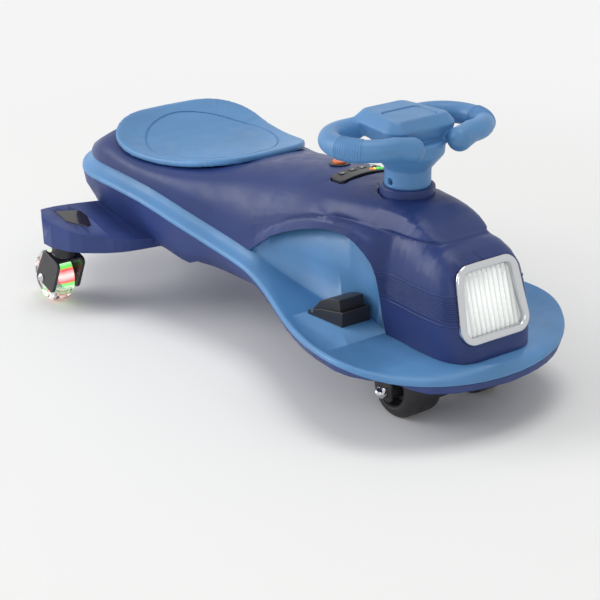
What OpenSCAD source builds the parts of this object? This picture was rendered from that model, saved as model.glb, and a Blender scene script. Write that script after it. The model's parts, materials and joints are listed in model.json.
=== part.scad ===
// Ride-on wiggle car: lofted shells on swivel casters, with a steering yoke that turns a powered front truck.
// +X is forward, +Y is the rider's left, +Z is up, and the floor is at zero.

/* [Deck] */
// Length of the deck from the rear band to the front rim
deck_l = 750; // [740:2:770]
// Half width of the footrest at its widest
deck_half_w = 160; // [156:1:166]
// Half width of the band beside the seat
band_half_w = 128; // [126:1:132]
// Half width of the waist behind the footrest
waist_half_w = 102; // [100:1:106]
// Height of the rim at the front edge
rim_front_z = 75; // [74:0.5:77]
// Height of the rim beside the footrest
rim_side_z = 95; // [94:0.5:98]
// Height of the band round the seat
band_z = 155; // [152:1:158]
// Height of the footrest floor
floor_z = 84.5; // [84:0.5:86]
// Wall of the moulded shells
wall = 3; // [2.6:0.1:3.2]
// Width of the rolled rim
rim_w = 14; // [12:1:16]
// Radius of the rim's rolled edge
rim_r = 4; // [3:0.5:5]
// Height of the rim's outer face
rim_drop = 6; // [5.5:0.5:7]
// Width of the band from its edge to the upper shell
band_w = 13; // [12:0.5:15]
// Height of the band from its edge to the upper shell
band_rise = 12; // [10:0.5:13]

/* [Upper shell] */
// Half width of the shell over the footwell
arch_half_w = 71; // [70:1:73]
// Height of the arch over the footwell
arch_top_z = 191; // [189:1:193]
// Half width of the nose
nose_half_w = 61; // [60:1:64]
// Height of the ridge behind the steering column
ridge_z = 231; // [229:1:233]
// Height of the saddle's lowest point
saddle_z = 190; // [189:0.5:192]

/* [Lower shell] */
// Height of the flat belly
belly_z = 76; // [75.5:0.5:77]
// Height of the dark edge under the rim
skirt_h = 9; // [7:0.5:9]
// Distance from the centre line to the wing tip
wing_half_span = 208; // [206:1:212]
// Height of the wing's underside
wing_under_z = 82; // [81:0.5:83]
// Height of the wing's top over the caster
wing_top_z = 113; // [112:0.5:115]

/* [Seat] */
// Length of the seat
seat_l = 239; // [232:1:243]
// Half width of the seat
seat_half_w = 107; // [104:1:109]
// Height of the seat's raised edge above its underside
seat_edge_h = 9; // [8:0.5:11]
// Depth of the dish in the seat
seat_dish = 5; // [3:0.5:6]

/* [Steering] */
// Place of the steering column along the car, as a share of its length
column_share = 0.7667; // [0.763:0.001:0.77]
// Radius of the column
column_r = 26; // [24:0.5:27]
// Height of the column's lower end above the ridge
column_rise = 5; // [4:0.5:6]
// Height of the steering wheel from the column's lower end to the hub's top
wheel_h = 82; // [78:1:90]
// Length of the hub plate
hub_l = 91; // [88:1:94]
// Width of the hub plate at its front
hub_w = 102; // [98:1:106]
// Thickness of the hub plate
hub_h = 28; // [26:1:30]
// Radius of the grip tube
grip_r = 12.5; // [12:0.5:13.5]
// Radius of the loop at the middle of its tube
loop_r = 43; // [41:1:45]
// Distance of the loop's centre from the middle of the wheel
loop_y = 54; // [52:1:58]
// Number of ribs on each grip
grip_ribs = 12; // [8:1:14]
// Radius of the steering shaft
shaft_r = 8; // [7:0.5:9]

/* [Front truck] */
// Distance of the front axle ahead of the steering axis
truck_lead = 68; // [66:1:70]
// Radius of the front wheels
front_r = 34.5; // [33:0.5:35]
// Width of the front wheels
front_w = 50; // [47:1:51]
// Distance from the centre line to the middle of a front wheel
front_track = 52; // [52:0.5:54]
// Radius of the front axle
front_axle_r = 4; // [3.5:0.5:4.5]

/* [Casters] */
// Place of the caster swivels along the car, as a share of its length
caster_share = 0.1827; // [0.179:0.001:0.187]
// Distance from the centre line to the caster swivels
caster_y = 188; // [186:1:190]
// Distance of the rear axle behind the swivel
trail = 24; // [22:0.5:25]
// Radius of the rear wheels
rear_r = 33; // [31:0.5:34]
// Width of the rear wheels
rear_w = 26; // [24:1:27]
// Radius of the caster stem
stem_r = 6; // [5:0.5:6.5]
// Radius of the caster's axle bolt
bolt_r = 3; // [2.5:0.25:3.5]

/* [Headlight] */
// Half width of the bezel at its foot
light_half_w = 50.5; // [48:0.5:51]
// Half width of the bezel at its top
light_top_half_w = 43; // [41:0.5:44]
// Height of the bezel along the nose
light_h = 87; // [82:1:88]
// Width of the bezel's frame
bezel_w = 9; // [8:0.5:10]
// Number of flutes in the lens
lens_flutes = 9; // [7:1:11]

/* [Controls] */
// Place of the control panel along the car, as a share of its length
panel_share = 0.6573; // [0.655:0.001:0.661]
// Length of the control panel across the car
panel_w = 70; // [66:1:72]
// Width of the control panel along the car
panel_l = 24; // [22:0.5:26]
// Travel of a panel key
key_travel = 0.8; // [0.6:0.1:1]
// Place of the power button along the car, as a share of its length
button_share = 0.6067; // [0.604:0.001:0.609]
// Radius of the power button
button_r = 8; // [7:0.5:9]
// Travel of the power button
button_travel = 1.5; // [1:0.1:2]
// Travel of the horn pad
horn_travel = 2; // [1.5:0.1:2.2]
// Rear end of the pedal housing, as a share of the car's length
pedal_share = 0.7013; // [0.699:0.001:0.703]
// Middle of the pedal across the car
pedal_y = -81; // [-82:0.5:-80]
// Length of the pedal housing
pedal_l = 62; // [60:0.5:63]
// Width of the pedal housing
pedal_w = 40; // [38:0.5:41]
// Height of the pedal above its housing's foot
pedal_h = 31; // [29:0.5:33]

/* [Hidden] */
$fn = 64;

// Gap between pieces that sit on each other
gap = 0.3;
// Gap of a fixed round fit
fit = 0.02;
// Running clearance of a shaft in its bore
running = 0.05;
// Overrun of every cut
over = 1;
navy = "#3b4680";
light_blue = "#5b91c6";
black = "#26272a";
steel = "#b9bcc0";
grey = "#77797d";

// Curve tools

function ease(t) = t * t * (3 - 2 * t);
function round_end(t) = sqrt(max(0, 1 - t * t));
function clamp(v, low, high) = max(low, min(high, v));
// Row of a table that a place falls in
function row_of(t, s, i = 0) = i >= len(t) - 2 || s < t[i + 1][0] ? i : row_of(t, s, i + 1);
// Eased steps between the rows of a table
function eased(t, s) =
    let (
        i = row_of(t, s),
        u = clamp((s - t[i][0]) / (t[i + 1][0] - t[i][0]), 0, 1)
    )
    t[i][1] + (t[i + 1][1] - t[i][1]) * ease(u);
function tangent(t, i) =
    let (
        a = max(i - 1, 0),
        b = min(i + 1, len(t) - 1)
    )
    (t[b][1] - t[a][1]) / (t[b][0] - t[a][0]);
// Smooth curve through the rows of a table
function curve(t, s) =
    let (
        i = row_of(t, s),
        h = t[i + 1][0] - t[i][0],
        u = clamp((s - t[i][0]) / h, 0, 1),
        p = tangent(t, i) * h,
        q = tangent(t, i + 1) * h,
        rise = t[i + 1][1] - t[i][1]
    )
    t[i][1] + rise * ease(u) + u * (1 - u) * (p * (1 - u) - q * u);
function mirrored(half) = concat(
    [for (p = half) [-p[0], p[1]]],
    [for (i = [len(half) - 2:-1:0]) half[i]]
);
// Convex outline with its corners rounded
function rounded(points, r, steps = 8) = [
    for (i = [0:len(points) - 1])
        let (
            n = len(points),
            c = points[i],
            a = points[(i + n - 1) % n] - c,
            b = points[(i + 1) % n] - c,
            u = a / norm(a),
            v = b / norm(b),
            half = acos(clamp(u * v, -1, 1)) / 2,
            middle = c + (u + v) / norm(u + v) * r / sin(half),
            start = c + u * r / tan(half) - middle,
            from = atan2(start[1], start[0]),
            sweep = 180 - 2 * half
        )
        for (k = [0:steps]) middle + r * [cos(from + sweep * k / steps), sin(from + sweep * k / steps)]
];
function box_outline(l, w) = [[-l / 2, -w / 2], [l / 2, -w / 2], [l / 2, w / 2], [-l / 2, w / 2]];

// Closed skin between two nested rows of sections, each section running edge to edge
module shell_loft(outer, inner) {
    n = len(outer);
    m = len(outer[0]);
    o = n * m;
    half = floor((m - 1) / 2);
    skin = [for (i = [0:n - 2], j = [0:m - 2])
        [i * m + j, i * m + j + 1, (i + 1) * m + j + 1, (i + 1) * m + j]];
    edges = concat(
        [for (i = [0:n - 2]) [i * m, (i + 1) * m, o + (i + 1) * m, o + i * m]],
        [for (i = [0:n - 2]) [i * m + m - 1, o + i * m + m - 1, o + (i + 1) * m + m - 1, (i + 1) * m + m - 1]]
    );
    last = (n - 1) * m;
    ends = concat(
        [for (j = [0:half - 1]) [j + 1, j, m - 1 - j, m - 2 - j]],
        [for (j = [0:half - 1]) [last + j, last + j + 1, last + m - 2 - j, last + m - 1 - j]],
        [for (j = [0:half - 1]) [o + j, o + j + 1, o + m - 2 - j, o + m - 1 - j]],
        [for (j = [0:half - 1]) [o + last + j + 1, o + last + j, o + last + m - 1 - j, o + last + m - 2 - j]],
        [[0, o, o + m - 1, m - 1], [last, last + m - 1, o + last + m - 1, o + last]]
    );
    inside = [for (f = skin) [o + f[3], o + f[2], o + f[1], o + f[0]]];
    quads = concat(skin, inside, edges, ends);
    polyhedron(
        points = concat([for (r = outer) each r], [for (r = inner) each r]),
        faces = [for (f = quads) each tri(f)]
    );
}
// Closed solid through rows of sections whose ends are joined by a straight edge
module solid_loft(rows) {
    n = len(rows);
    m = len(rows[0]);
    half = floor((m - 1) / 2);
    last = (n - 1) * m;
    skin = [for (i = [0:n - 2], j = [0:m - 2])
        [i * m + j, i * m + j + 1, (i + 1) * m + j + 1, (i + 1) * m + j]];
    foot = [for (i = [0:n - 2]) [i * m + m - 1, i * m, (i + 1) * m, (i + 1) * m + m - 1]];
    ends = concat(
        [for (j = [0:half - 1]) [j + 1, j, m - 1 - j, m - 2 - j]],
        [for (j = [0:half - 1]) [last + j, last + j + 1, last + m - 2 - j, last + m - 1 - j]]
    );
    polyhedron(points = [for (r = rows) each r], faces = [for (f = concat(skin, foot, ends)) each tri(f)]);
}
// Two triangles of a four-sided face, or one where two of its corners are the same
function tri(f) = f[2] == f[1] ? [[f[0], f[1], f[3]]]
    : f[3] == f[0] ? [[f[0], f[1], f[2]]]
    : [[f[0], f[1], f[2]], [f[0], f[2], f[3]]];

// Lines of the body, along the car from 0 at the rear to 1 at the front

middle_share = 0.5;
function x_at(s) = (s - middle_share) * deck_l;
function share_of(x) = x / deck_l + middle_share;
column_x = x_at(column_share);
caster_x = x_at(caster_share);
panel_x = x_at(panel_share);
button_x = x_at(button_share);
pedal_x = x_at(pedal_share);
rear_arc_share = 0.166;
front_arc_share = 0.84;
waist_share = 0.53;
arch_end_share = 0.8173;
deck_plan_shares = [rear_arc_share, 0.25, waist_share, front_arc_share];
deck_plan = [
    [deck_plan_shares[0], band_half_w],
    [deck_plan_shares[1], band_half_w],
    [deck_plan_shares[2], waist_half_w],
    [deck_plan_shares[3], deck_half_w]
];
function deck_y(s) =
    s < rear_arc_share ? band_half_w * round_end((rear_arc_share - s) / rear_arc_share)
    : s > front_arc_share ? deck_half_w * round_end((s - front_arc_share) / (1 - front_arc_share))
    : eased(deck_plan, s);
rim_rise_shares = [
    [0, 1], [0.2, 1], [0.3, 0.93], [0.37, 0.73], [0.46, 0.47], [0.54, 0.29], [0.6, 0.15], [0.68, 0.02],
    [0.76, 0], [1, 0]
];
rim_fall_shares = [[0, 0], [0.8, 0], [0.87, 0.16], [0.94, 0.65], [1, 1]];
function rim_z(s) = rim_side_z + (band_z - rim_side_z) * curve(rim_rise_shares, s)
    - (rim_side_z - rim_front_z) * curve(rim_fall_shares, s);
band_top = rim_z(waist_share) + band_rise;
floor_fall_shares = [[waist_share, 1], [0.58, 0.66], [0.63, 0.32], [0.69, 0.08], [0.75, 0], [1, 0]];
// Height of the deck where the upper shell sits on it, or of the footrest floor
function floor_at(s) = s < waist_share ? rim_z(s) + band_rise
    : floor_z + (band_top - floor_z) * curve(floor_fall_shares, s);

// Lower edge of the upper shell
arch_rise_shares = [[0.56, 0.53], [0.59, 0.69], [0.645, 0.85], [0.69, 0.95], [0.73, 1], [0.765, 0.98],
    [0.785, 0.88], [0.799, 0.735], [0.8055, 0.55], [0.81, 0.32], [0.814, 0.1]];
arch_line = concat(
    [[waist_share, band_top]],
    [for (p = arch_rise_shares) [p[0], floor_z + (arch_top_z - floor_z) * p[1]]],
    [[arch_end_share, floor_z]]
);
function edge_z(s) = gap + (s < waist_share ? floor_at(s)
    : s > arch_end_share ? floor_z
    : max(floor_z, curve(arch_line, s)));
shell_rear_share = band_w / deck_l;
nose_end_share = 0.976;
nose_arc_share = 0.885;
nose_power = 4;
edge_plan_shares = [[0.6, 1.08], [0.66, 1.02], [0.75, 1], [0.79, 0.97]];
nose_in_share = 0.97;
edge_plan = concat(
    [[waist_share, waist_half_w - band_w]],
    [for (p = edge_plan_shares) [p[0], arch_half_w * p[1]]],
    [[arch_end_share, nose_half_w * nose_in_share], [nose_arc_share, nose_half_w]]
);
function nose_round(t) = pow(max(0, 1 - pow(t, nose_power)), 1 / nose_power);
function edge_y(s) =
    s < rear_arc_share
        ? (band_half_w - band_w) * round_end((rear_arc_share - s) / (rear_arc_share - shell_rear_share))
    : s < waist_share ? deck_y(s) - band_w
    : s < nose_arc_share ? curve(edge_plan, s)
    : nose_half_w * nose_round((s - nose_arc_share) / (nose_end_share - nose_arc_share));

// Top line of the upper shell
seat_step_share = 0.44;
seat_step_l = 1.5;
seat_sink = 3;
rake_share = 0.936;
top_rise_shares = [
    [0.045, -0.32], [0.085, -0.05], [0.127, 0.42], [0.165, 0.32], [0.222, 0.04], [0.287, 0], [0.35, 0.12],
    [0.397, 0.29], [0.44, 0.46], [0.5, 0.695], [0.6, 0.963], [0.66, 1], [0.72, 0.95], [0.77, 0.79],
    [0.83, 0.46], [0.87, 0.35], [0.9, 0.26], [0.92, 0.13], [rake_share, -0.1]
];
function rise_z(share) = saddle_z + (ridge_z - saddle_z) * share;
rake_top_z = rise_z(top_rise_shares[len(top_rise_shares) - 1][1]);
function top_free(s) = s < top_rise_shares[0][0]
    ? edge_z(s) + (rise_z(top_rise_shares[0][1]) - edge_z(s))
        * round_end((top_rise_shares[0][0] - s) / (top_rise_shares[0][0] - shell_rear_share))
    : s < rake_share ? rise_z(curve(top_rise_shares, s))
    : rake_top_z + (floor_z + wall - rake_top_z) * (s - rake_share) / (nose_end_share - rake_share);
function top_z(s) = max(edge_z(s) + wall / 2, top_free(s));
// Flat under the seat, and no limit elsewhere
function pan_z(s) = s < seat_step_share + seat_step_l / deck_l ? top_z(s) - seat_sink : ridge_z + wall;
bulge_shares = [[0, 2.4], [0.085, 2.4], [0.127, 2.7], [0.18, 4.2], [0.24, 5], [0.3, 4.6], [0.38, 3.6],
    [0.47, 2.7], [0.6, 2.3], [0.7, 2.4], [0.78, 3], [0.83, 4], [0.9, 4.4], [1, 4.6]];

// Raised hood that carries the top line on past the steering column
hood_half_w = 45;
spread_shares = [0.72, 0.985, 0.6, 0.88];
hood_rise_shares = [[0.64, 0.985], [0.66, 1], [0.72, 1.01], [0.76, 1.01], [0.8, 0.95], [0.834, 0.84],
    [0.857, 0.68], [0.873, 0.5], [0.889, 0.32], [0.902, 0.2]];
hood_plan_shares = [[0.6, 1.4], [0.66, 1.4], [0.7, 1.37], [0.735, 1.28], [0.77, 1.16], [0.81, 1.05],
    [0.84, 1], [0.865, 0.95], [0.885, 0.84], [0.902, 0.6], [0.95, 0.6]];
hood_foot_shares = [[0.64, -0.1], [0.66, 0], [0.7, 0.16], [0.74, 0.25], [0.78, 0.28], [0.85, 0.27],
    [0.902, 0.18]];
hood_power_shares = [[0.64, 2.4], [0.72, 2.4], [0.77, 2.7], [0.82, 3.4], [0.87, 3.6], [0.902, 3]];
function hood_y(s) = hood_half_w * curve(hood_plan_shares, s);
function hood_z(s, y, depth) =
    let (
        half = hood_y(s) - depth,
        foot = rise_z(curve(hood_foot_shares, s)) - depth,
        power = curve(hood_power_shares, s),
        on = s > hood_rise_shares[0][0] && s < hood_rise_shares[len(hood_rise_shares) - 1][0] && abs(y) < half
    )
    on ? foot + (rise_z(curve(hood_rise_shares, s)) - depth - foot)
        * pow(1 - pow(abs(y) / half, power), 1 / power)
    : 0;

// Top of the body, which meets the hood at its foot
hood_on_shares = [[0.655, 0], [0.71, 1], [0.885, 1], [0.902, 0]];
function crown_z(s) =
    let (
        low = edge_z(s),
        power = curve(bulge_shares, s),
        t = clamp(hood_y(s) / edge_y(s), 0, spread_shares[3]),
        on = eased(hood_on_shares, s)
    )
    top_z(s) * (1 - on)
        + (low + (rise_z(curve(hood_foot_shares, s)) - low) / pow(1 - pow(t, power), 1 / power)) * on;

// Flange that flares out along the arch
flange_out = 9;
flange_lip_shares = [1, 0.1];
flange_shares = [[0.53, 0], [0.56, 1], [0.76, 1], [0.81, 0.3], [arch_end_share, 0]];
function flange_y(s, k) = s < waist_share || s > arch_end_share || k >= len(flange_lip_shares) ? 0
    : flange_out * eased(flange_shares, s) * flange_lip_shares[k];

body_shares = [
    for (s = [0.0185, 0.021, 0.027, 0.036, 0.05, 0.068, 0.09, 0.11, 0.13, 0.15]) s,
    for (s = [0.175:0.04:0.42]) s,
    seat_step_share, seat_step_share + 2 * seat_step_l / deck_l,
    for (s = [0.475, 0.5, waist_share]) s,
    for (s = [0.545, 0.56, 0.585, 0.615, 0.638, 0.66, 0.685, 0.71, 0.735, 0.755, 0.772, 0.787, 0.797]) s,
    for (s = [0.8035, 0.808, 0.8125]) s,
    arch_end_share,
    for (s = [0.835, 0.85, 0.864, 0.876, 0.887, 0.897, 0.907, 0.922]) s,
    rake_share,
    for (s = [0.95, 0.962, 0.969, 0.9735, 0.975]) s
];
shell_steps = 26;
spread_power = 0.8;
// Share of the half width at a step, with one step on the foot of the hood
function spread(t, foot) =
    let (
        mark = spread_shares[0],
        h = clamp(foot, spread_shares[2], spread_shares[3])
    )
    t > spread_shares[1] ? t : t < mark ? t * h / mark : h + (t - mark) * (1 - h) / (1 - mark);
// Outline of the upper shell across the car, moved inwards by a depth
function shell_row(s, depth) =
    let (
        y = edge_y(s) - depth,
        low = edge_z(s),
        high = max(crown_z(s) - depth, low + gap),
        power = curve(bulge_shares, s)
    )
    [for (k = [0:shell_steps])
        let (
            c = cos(180 * k / shell_steps),
            t = spread(pow(abs(c), spread_power), hood_y(s) / edge_y(s)),
            up = pow(max(0, 1 - pow(t, power)), 1 / power),
            out = -sign(c) * (t * y + flange_y(s, min(k, shell_steps - k))),
            body = min(low + (high - low) * up, max(pan_z(s) - depth, low + gap * up))
        )
        [x_at(s), out, max(body, hood_z(s, out, depth))]];
function inner_share(s, low, high) =
    s + wall / deck_l * (1 - 2 * (s - low) / (high - low));
module shell_skin() {
    first = body_shares[0];
    last = body_shares[len(body_shares) - 1];
    shell_loft(
        [for (s = body_shares) shell_row(s, 0)],
        [for (s = body_shares) shell_row(inner_share(s, first, last), wall)]
    );
}

// Half outline of the deck across the car, from the rim's foot to the middle
deck_gap = 1.2;
lip_h = 8;
lip_share = 0.12;
lip_back = 12;
lip_step = 0.06;
nose_lip_h = 4;
fillet_shares = [0.3, 0.7];
end_shares = [0.3, 0.4, 0.6];
foot_plan_shares = [[0.58, 1.04], [0.63, 0.88], [0.69, 0.79], [0.79, 0.76]];
foot_plan = concat(
    [[waist_share, waist_half_w - band_w - wall - deck_gap]],
    [for (p = foot_plan_shares) [p[0], arch_half_w * p[1]]],
    [[arch_end_share, nose_half_w * nose_in_share - wall - deck_gap]]
);
function wall_y(s) = max(edge_y(s) - wall - deck_gap, end_shares[0] * deck_y(s));
function foot_y(s) = s < waist_share || s > arch_end_share ? wall_y(s) : curve(foot_plan, s);
function lip_z(s) = edge_z(s)
    + (s > arch_end_share ? nose_lip_h : min(lip_h, lip_share * (crown_z(s) - edge_z(s))));
lip_end_share = nose_end_share - 2 * (wall + deck_gap) / deck_l;
function lip_on(s) = s < shell_rear_share + lip_back / deck_l || s > lip_end_share ? 0 : 1;
function deck_half(s, depth) =
    let (
        y = deck_y(s) - depth,
        z = rim_z(s),
        r = min(rim_r, end_shares[0] * y),
        w = min(rim_w, end_shares[2] * y),
        low = floor_at(s) - depth,
        on = lip_on(s),
        step = on > 0 ? gap : lip_step,
        foot = min(on * (foot_y(s) - depth) + (1 - on) * end_shares[1] * y, y - w),
        top = on * (lip_z(s) - depth) + (1 - on) * (low + 2 * step),
        wall_in = min(on * (wall_y(s) - depth) + (1 - on) * end_shares[0] * y, foot + rim_w),
        edge = low < z - depth ? low : z - depth + fillet_shares[0] * (low - z + depth)
    )
    [
        [y, z - rim_drop],
        [y, z - rim_r - depth / 2],
        [y - r * fillet_shares[0], z - r * fillet_shares[0] - depth],
        [y - r, z - depth],
        [y - w, edge],
        [min(foot + wall + deck_gap + gap, y - w - gap), low],
        [foot, low + step],
        [(foot + wall_in) / 2, (low + step + top) / 2],
        [wall_in - gap * on, top],
        [0, top + step]
    ];
function deck_row(s, depth) = [for (p = mirrored(deck_half(s, depth))) [x_at(s), p[0], p[1]]];
deck_end_shares = [0.0006, 0.003, 0.008, 0.0135];
deck_front_shares = [0.978, 0.985, 0.991, 0.996, 0.9994];
deck_shares = concat(deck_end_shares, body_shares, deck_front_shares);
module deck_skin() {
    first = deck_shares[0];
    last = deck_shares[len(deck_shares) - 1];
    shell_loft(
        [for (s = deck_shares) deck_row(s, 0)],
        [for (s = deck_shares) deck_row(inner_share(s, first, last), wall)]
    );
}

// Half outline of the lower shell across the car, from its top edge to the middle of the belly
edge_inset = 0.6;
side_drop = 58;
side_in = 24;
skirt_in = 4;
belly_in = 36;
waist_belly_in = 64;
belly_lift = 15;
belly_fall_shares = [0.93, 0.974];
side_blend_shares = [0.36, 0.455];
sag_shares = [0.01, 0.99];
knee_shares = [0.2, 0.8];
function blend(s, shares) = ease(clamp((s - shares[0]) / (shares[1] - shares[0]), 0, 1));
function belly_at(s) = belly_z - belly_lift * blend(s, belly_fall_shares);
function lower_half(s, depth) =
    let (
        y = max(deck_y(s) - edge_inset - depth, gap),
        z = rim_z(s) - rim_drop - 2 * gap,
        t = 1 - blend(s, side_blend_shares),
        drop = skirt_h + (side_drop - skirt_h) * t,
        in = skirt_in + (side_in - skirt_in) * t,
        under = waist_belly_in + (belly_in - waist_belly_in) * t,
        floor_line = belly_at(s) + depth,
        knee = max(z - drop + depth, floor_line + gap),
        knee_y = max(y - in, fillet_shares[1] * y),
        belly_y = max(y - in - under, end_shares[1] * y),
        sag = s < sag_shares[0] || s > sag_shares[1] ? gap : 0
    )
    [
        [y, z],
        [y - (y - knee_y) * fillet_shares[0] / 2, z + (knee - z) * fillet_shares[0]],
        [y - (y - knee_y) * fillet_shares[1], z + (knee - z) * fillet_shares[1]],
        [knee_y, knee],
        [
            knee_y * fillet_shares[1] + belly_y * fillet_shares[0],
            knee * knee_shares[0] + floor_line * knee_shares[1]
        ],
        [belly_y, floor_line],
        [0, floor_line - sag]
    ];
function lower_row(s, depth) =
    [for (p = mirrored(lower_half(s, depth))) [x_at(s), -p[0], p[1]]];
lower_rear_shares = [0.0006, 0.003, 0.008, 0.0135, 0.022, 0.034, 0.05, 0.07, 0.1, 0.135];
lower_front_shares = [0.855, 0.88, 0.905, 0.925, 0.94, 0.953, 0.965, 0.975, 0.984, 0.9915, 0.9965, 0.9994];
lower_shares = concat(
    lower_rear_shares, [for (s = [0.17:0.045:0.34]) s], [for (s = [0.355:0.02:0.46]) s],
    [for (s = [0.485:0.036:0.84]) s], lower_front_shares
);
module lower_skin() {
    first = lower_shares[0];
    last = lower_shares[len(lower_shares) - 1];
    shell_loft(
        [for (s = lower_shares) lower_row(s, 0)],
        [for (s = lower_shares) lower_row(inner_share(s, first, last), wall)]
    );
}

// Swept wing that carries a caster
wing_root_y = 84;
wing_chord = 125;
wing_back = 40;
wing_slope_out_share = 0.1;
wing_slope_aft_share = 0.14;
wing_front_shares = [[0, 0], [0.2, 0.02], [0.54, 0.1], [0.82, 0.29], [0.93, 0.43], [0.98, 0.53], [1, 0.62]];
wing_rear_shares = [[0, 0], [0.6, 0], [0.9, 0.04], [0.97, 0.1], [1, 0.2]];
function wing_top(x, y) = wing_top_z + wing_slope_out_share * (y - caster_y)
    - wing_slope_aft_share * (x - caster_x);
function wing_row(t, side) =
    let (
        y = wing_root_y + (wing_half_span - wing_root_y) * t,
        front = caster_x - wing_back + wing_chord * (1 - curve(wing_front_shares, t)),
        rear = caster_x - wing_back + wing_chord * curve(wing_rear_shares, t),
        points = [
            [front, side * y, wing_under_z],
            [front - wall * fillet_shares[0], side * y, wing_top(front, y)],
            [rear, side * y, wing_top(rear, y)],
            [rear + wall, side * y, wing_under_z]
        ]
    )
    side > 0 ? points : [for (i = [3:-1:0]) points[i]];
wing_steps = 12;
module wing(side) {
    solid_loft([for (k = [0:wing_steps]) wing_row(k / wing_steps, side)]);
}

// Main shells

seat_gap = 0.6;
collar_wall = 5;
hole_collar_r = column_r + collar_wall;
collar_foot_share = 0.366;
collar_foot_z = rise_z(collar_foot_share);
module upper_shell() {
    color(navy) difference() {
        shell_skin();
        translate([column_x, 0, collar_foot_z - over]) cylinder(r = hole_collar_r + gap, h = ridge_z);
        panel_block(panel_l + 2 * gap, panel_w + 2 * gap, panel_depth + over);
        translate([button_x, 0, ridge_z - switch_h]) cylinder(r = switch_r + gap, h = 2 * switch_h);
        translate([button_x, 0, switch_top_z - switch_flange_h - gap])
            cylinder(r = switch_r + switch_flange + gap, h = switch_h);
        on_nose() translate([0, 0, -light_depth])
            linear_extrude(2 * light_depth) polygon(bezel_outline(gap));
    }
}
plinth_rear = 12;
plinth_front = 21;
plinth_side = 8;
plinth_lean = 5;
plinth_rear_h = 7;
plinth_front_h = 10;
plinth_cant = 0.02;
plinth_rows = [
    [pedal_x - plinth_rear, 0], [pedal_x - plinth_lean, plinth_rear_h],
    [pedal_x + pedal_l + gap, plinth_front_h], [pedal_x + pedal_l + plinth_front, 0]
];
// Height of the plinth's top under the pedal
function plinth_z(x) = floor_z + plinth_rear_h
    + (plinth_front_h - plinth_rear_h) * (x - pedal_x + plinth_lean) / (pedal_l + plinth_lean);
module pedal_plinth() {
    half = pedal_w / 2 + plinth_side;
    solid_loft([for (p = plinth_rows)
        let (
            in = plinth_lean * p[1] / plinth_front_h,
            low = floor_at(share_of(p[0])),
            high = max(floor_z + p[1], low + gap)
        )
        [
            [p[0], pedal_y - half, low - wall / 2],
            [p[0], pedal_y - half + in, high],
            [p[0], pedal_y + half - in, high + plinth_cant],
            [p[0], pedal_y + half, low - wall / 2 + plinth_cant]
        ]]);
}
shaft_room = 4;
shaft_hole_r = shaft_r + shaft_room;
module deck() {
    color(light_blue) difference() {
        union() {
            deck_skin();
            pedal_plinth();
        }
        translate([column_x, 0, floor_z]) cylinder(r = shaft_hole_r, h = arch_top_z);
    }
}
module lower_shell() {
    color(navy) difference() {
        union() {
            lower_skin();
            for (side = [-1, 1]) wing(side);
        }
        translate([column_x, 0, belly_z - over]) cylinder(r = lower_bush_r + gap, h = floor_z);
        for (side = [-1, 1]) {
            translate([caster_x, side * caster_y, wing_under_z - over])
                cylinder(r = stem_bush_r + fit, h = stem_bush_h + over);
            on_wing(side) translate([0, 0, -tail_h])
                linear_extrude(tail_h + over) polygon(tail_outline(side, gap));
        }
        translate([socket_x, 0, belly_z - over]) cylinder(r = socket_r + gap, h = 2 * socket_h);
    }
}
seat_rear_x = x_at(seat_step_share) - seat_gap - seat_l;
seat_arc_share = 0.24;
seat_plan_shares = [[seat_arc_share, 1], [0.4, 0.965], [0.55, 0.9], [0.7, 0.815], [0.83, 0.71], [0.9, 0.62],
    [0.95, 0.51], [0.98, 0.39], [0.995, 0.24], [1, 0.12]];
function seat_y(t) = seat_half_w * (t < seat_arc_share ? round_end((seat_arc_share - t) / seat_arc_share)
    : curve(seat_plan_shares, t));
seat_edge_shares = [[1, 0], [1, 0.55], [0.99, 0.86], [0.95, 1]];
seat_dish_shares = [[0.86, 0.2], [0.66, 0.75], [0.33, 1], [0, 1]];
seat_rows = [0.0006, 0.004, 0.012, 0.025, 0.045, 0.075, 0.12, 0.18, 0.24, 0.32, 0.4, 0.48, 0.56, 0.64,
    0.72, 0.79, 0.85, 0.9, 0.94, 0.965, 0.982, 0.993, 1];
seat_round_share = 0.04;
seat_fade_share = 0.12;
seat_tail_share = 0.25;
seat_tail_lift = 6;
// Distance from the nearer end of the seat as a share of a given stretch
function from_end(t, stretch) = clamp(min(t, 1 - t) / stretch, 0, 1);
function seat_row(t) =
    let (
        x = seat_rear_x + seat_l * t,
        y = seat_y(t),
        lift = seat_tail_lift * ease(clamp(1 - t / seat_tail_share, 0, 1)),
        z = top_z(share_of(x)) - seat_sink + 2 * gap + lift,
        h = seat_edge_h * (1 + round_end(1 - from_end(t, seat_round_share))) / 2,
        dish = seat_dish * ease(from_end(t, seat_fade_share)),
        edge = [for (p = seat_edge_shares) [y * p[0], z + h * p[1]]],
        middle = [for (k = [0:len(seat_dish_shares) - 1]) [y * seat_dish_shares[k][0],
            z + h + gap * (k + 1) - dish * seat_dish_shares[k][1]]]
    )
    [for (p = mirrored(concat(edge, middle))) [x, p[0], p[1]]];
module seat() {
    color(light_blue) solid_loft([for (t = seat_rows) seat_row(t)]);
}

// Steering column and its bushes

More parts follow.
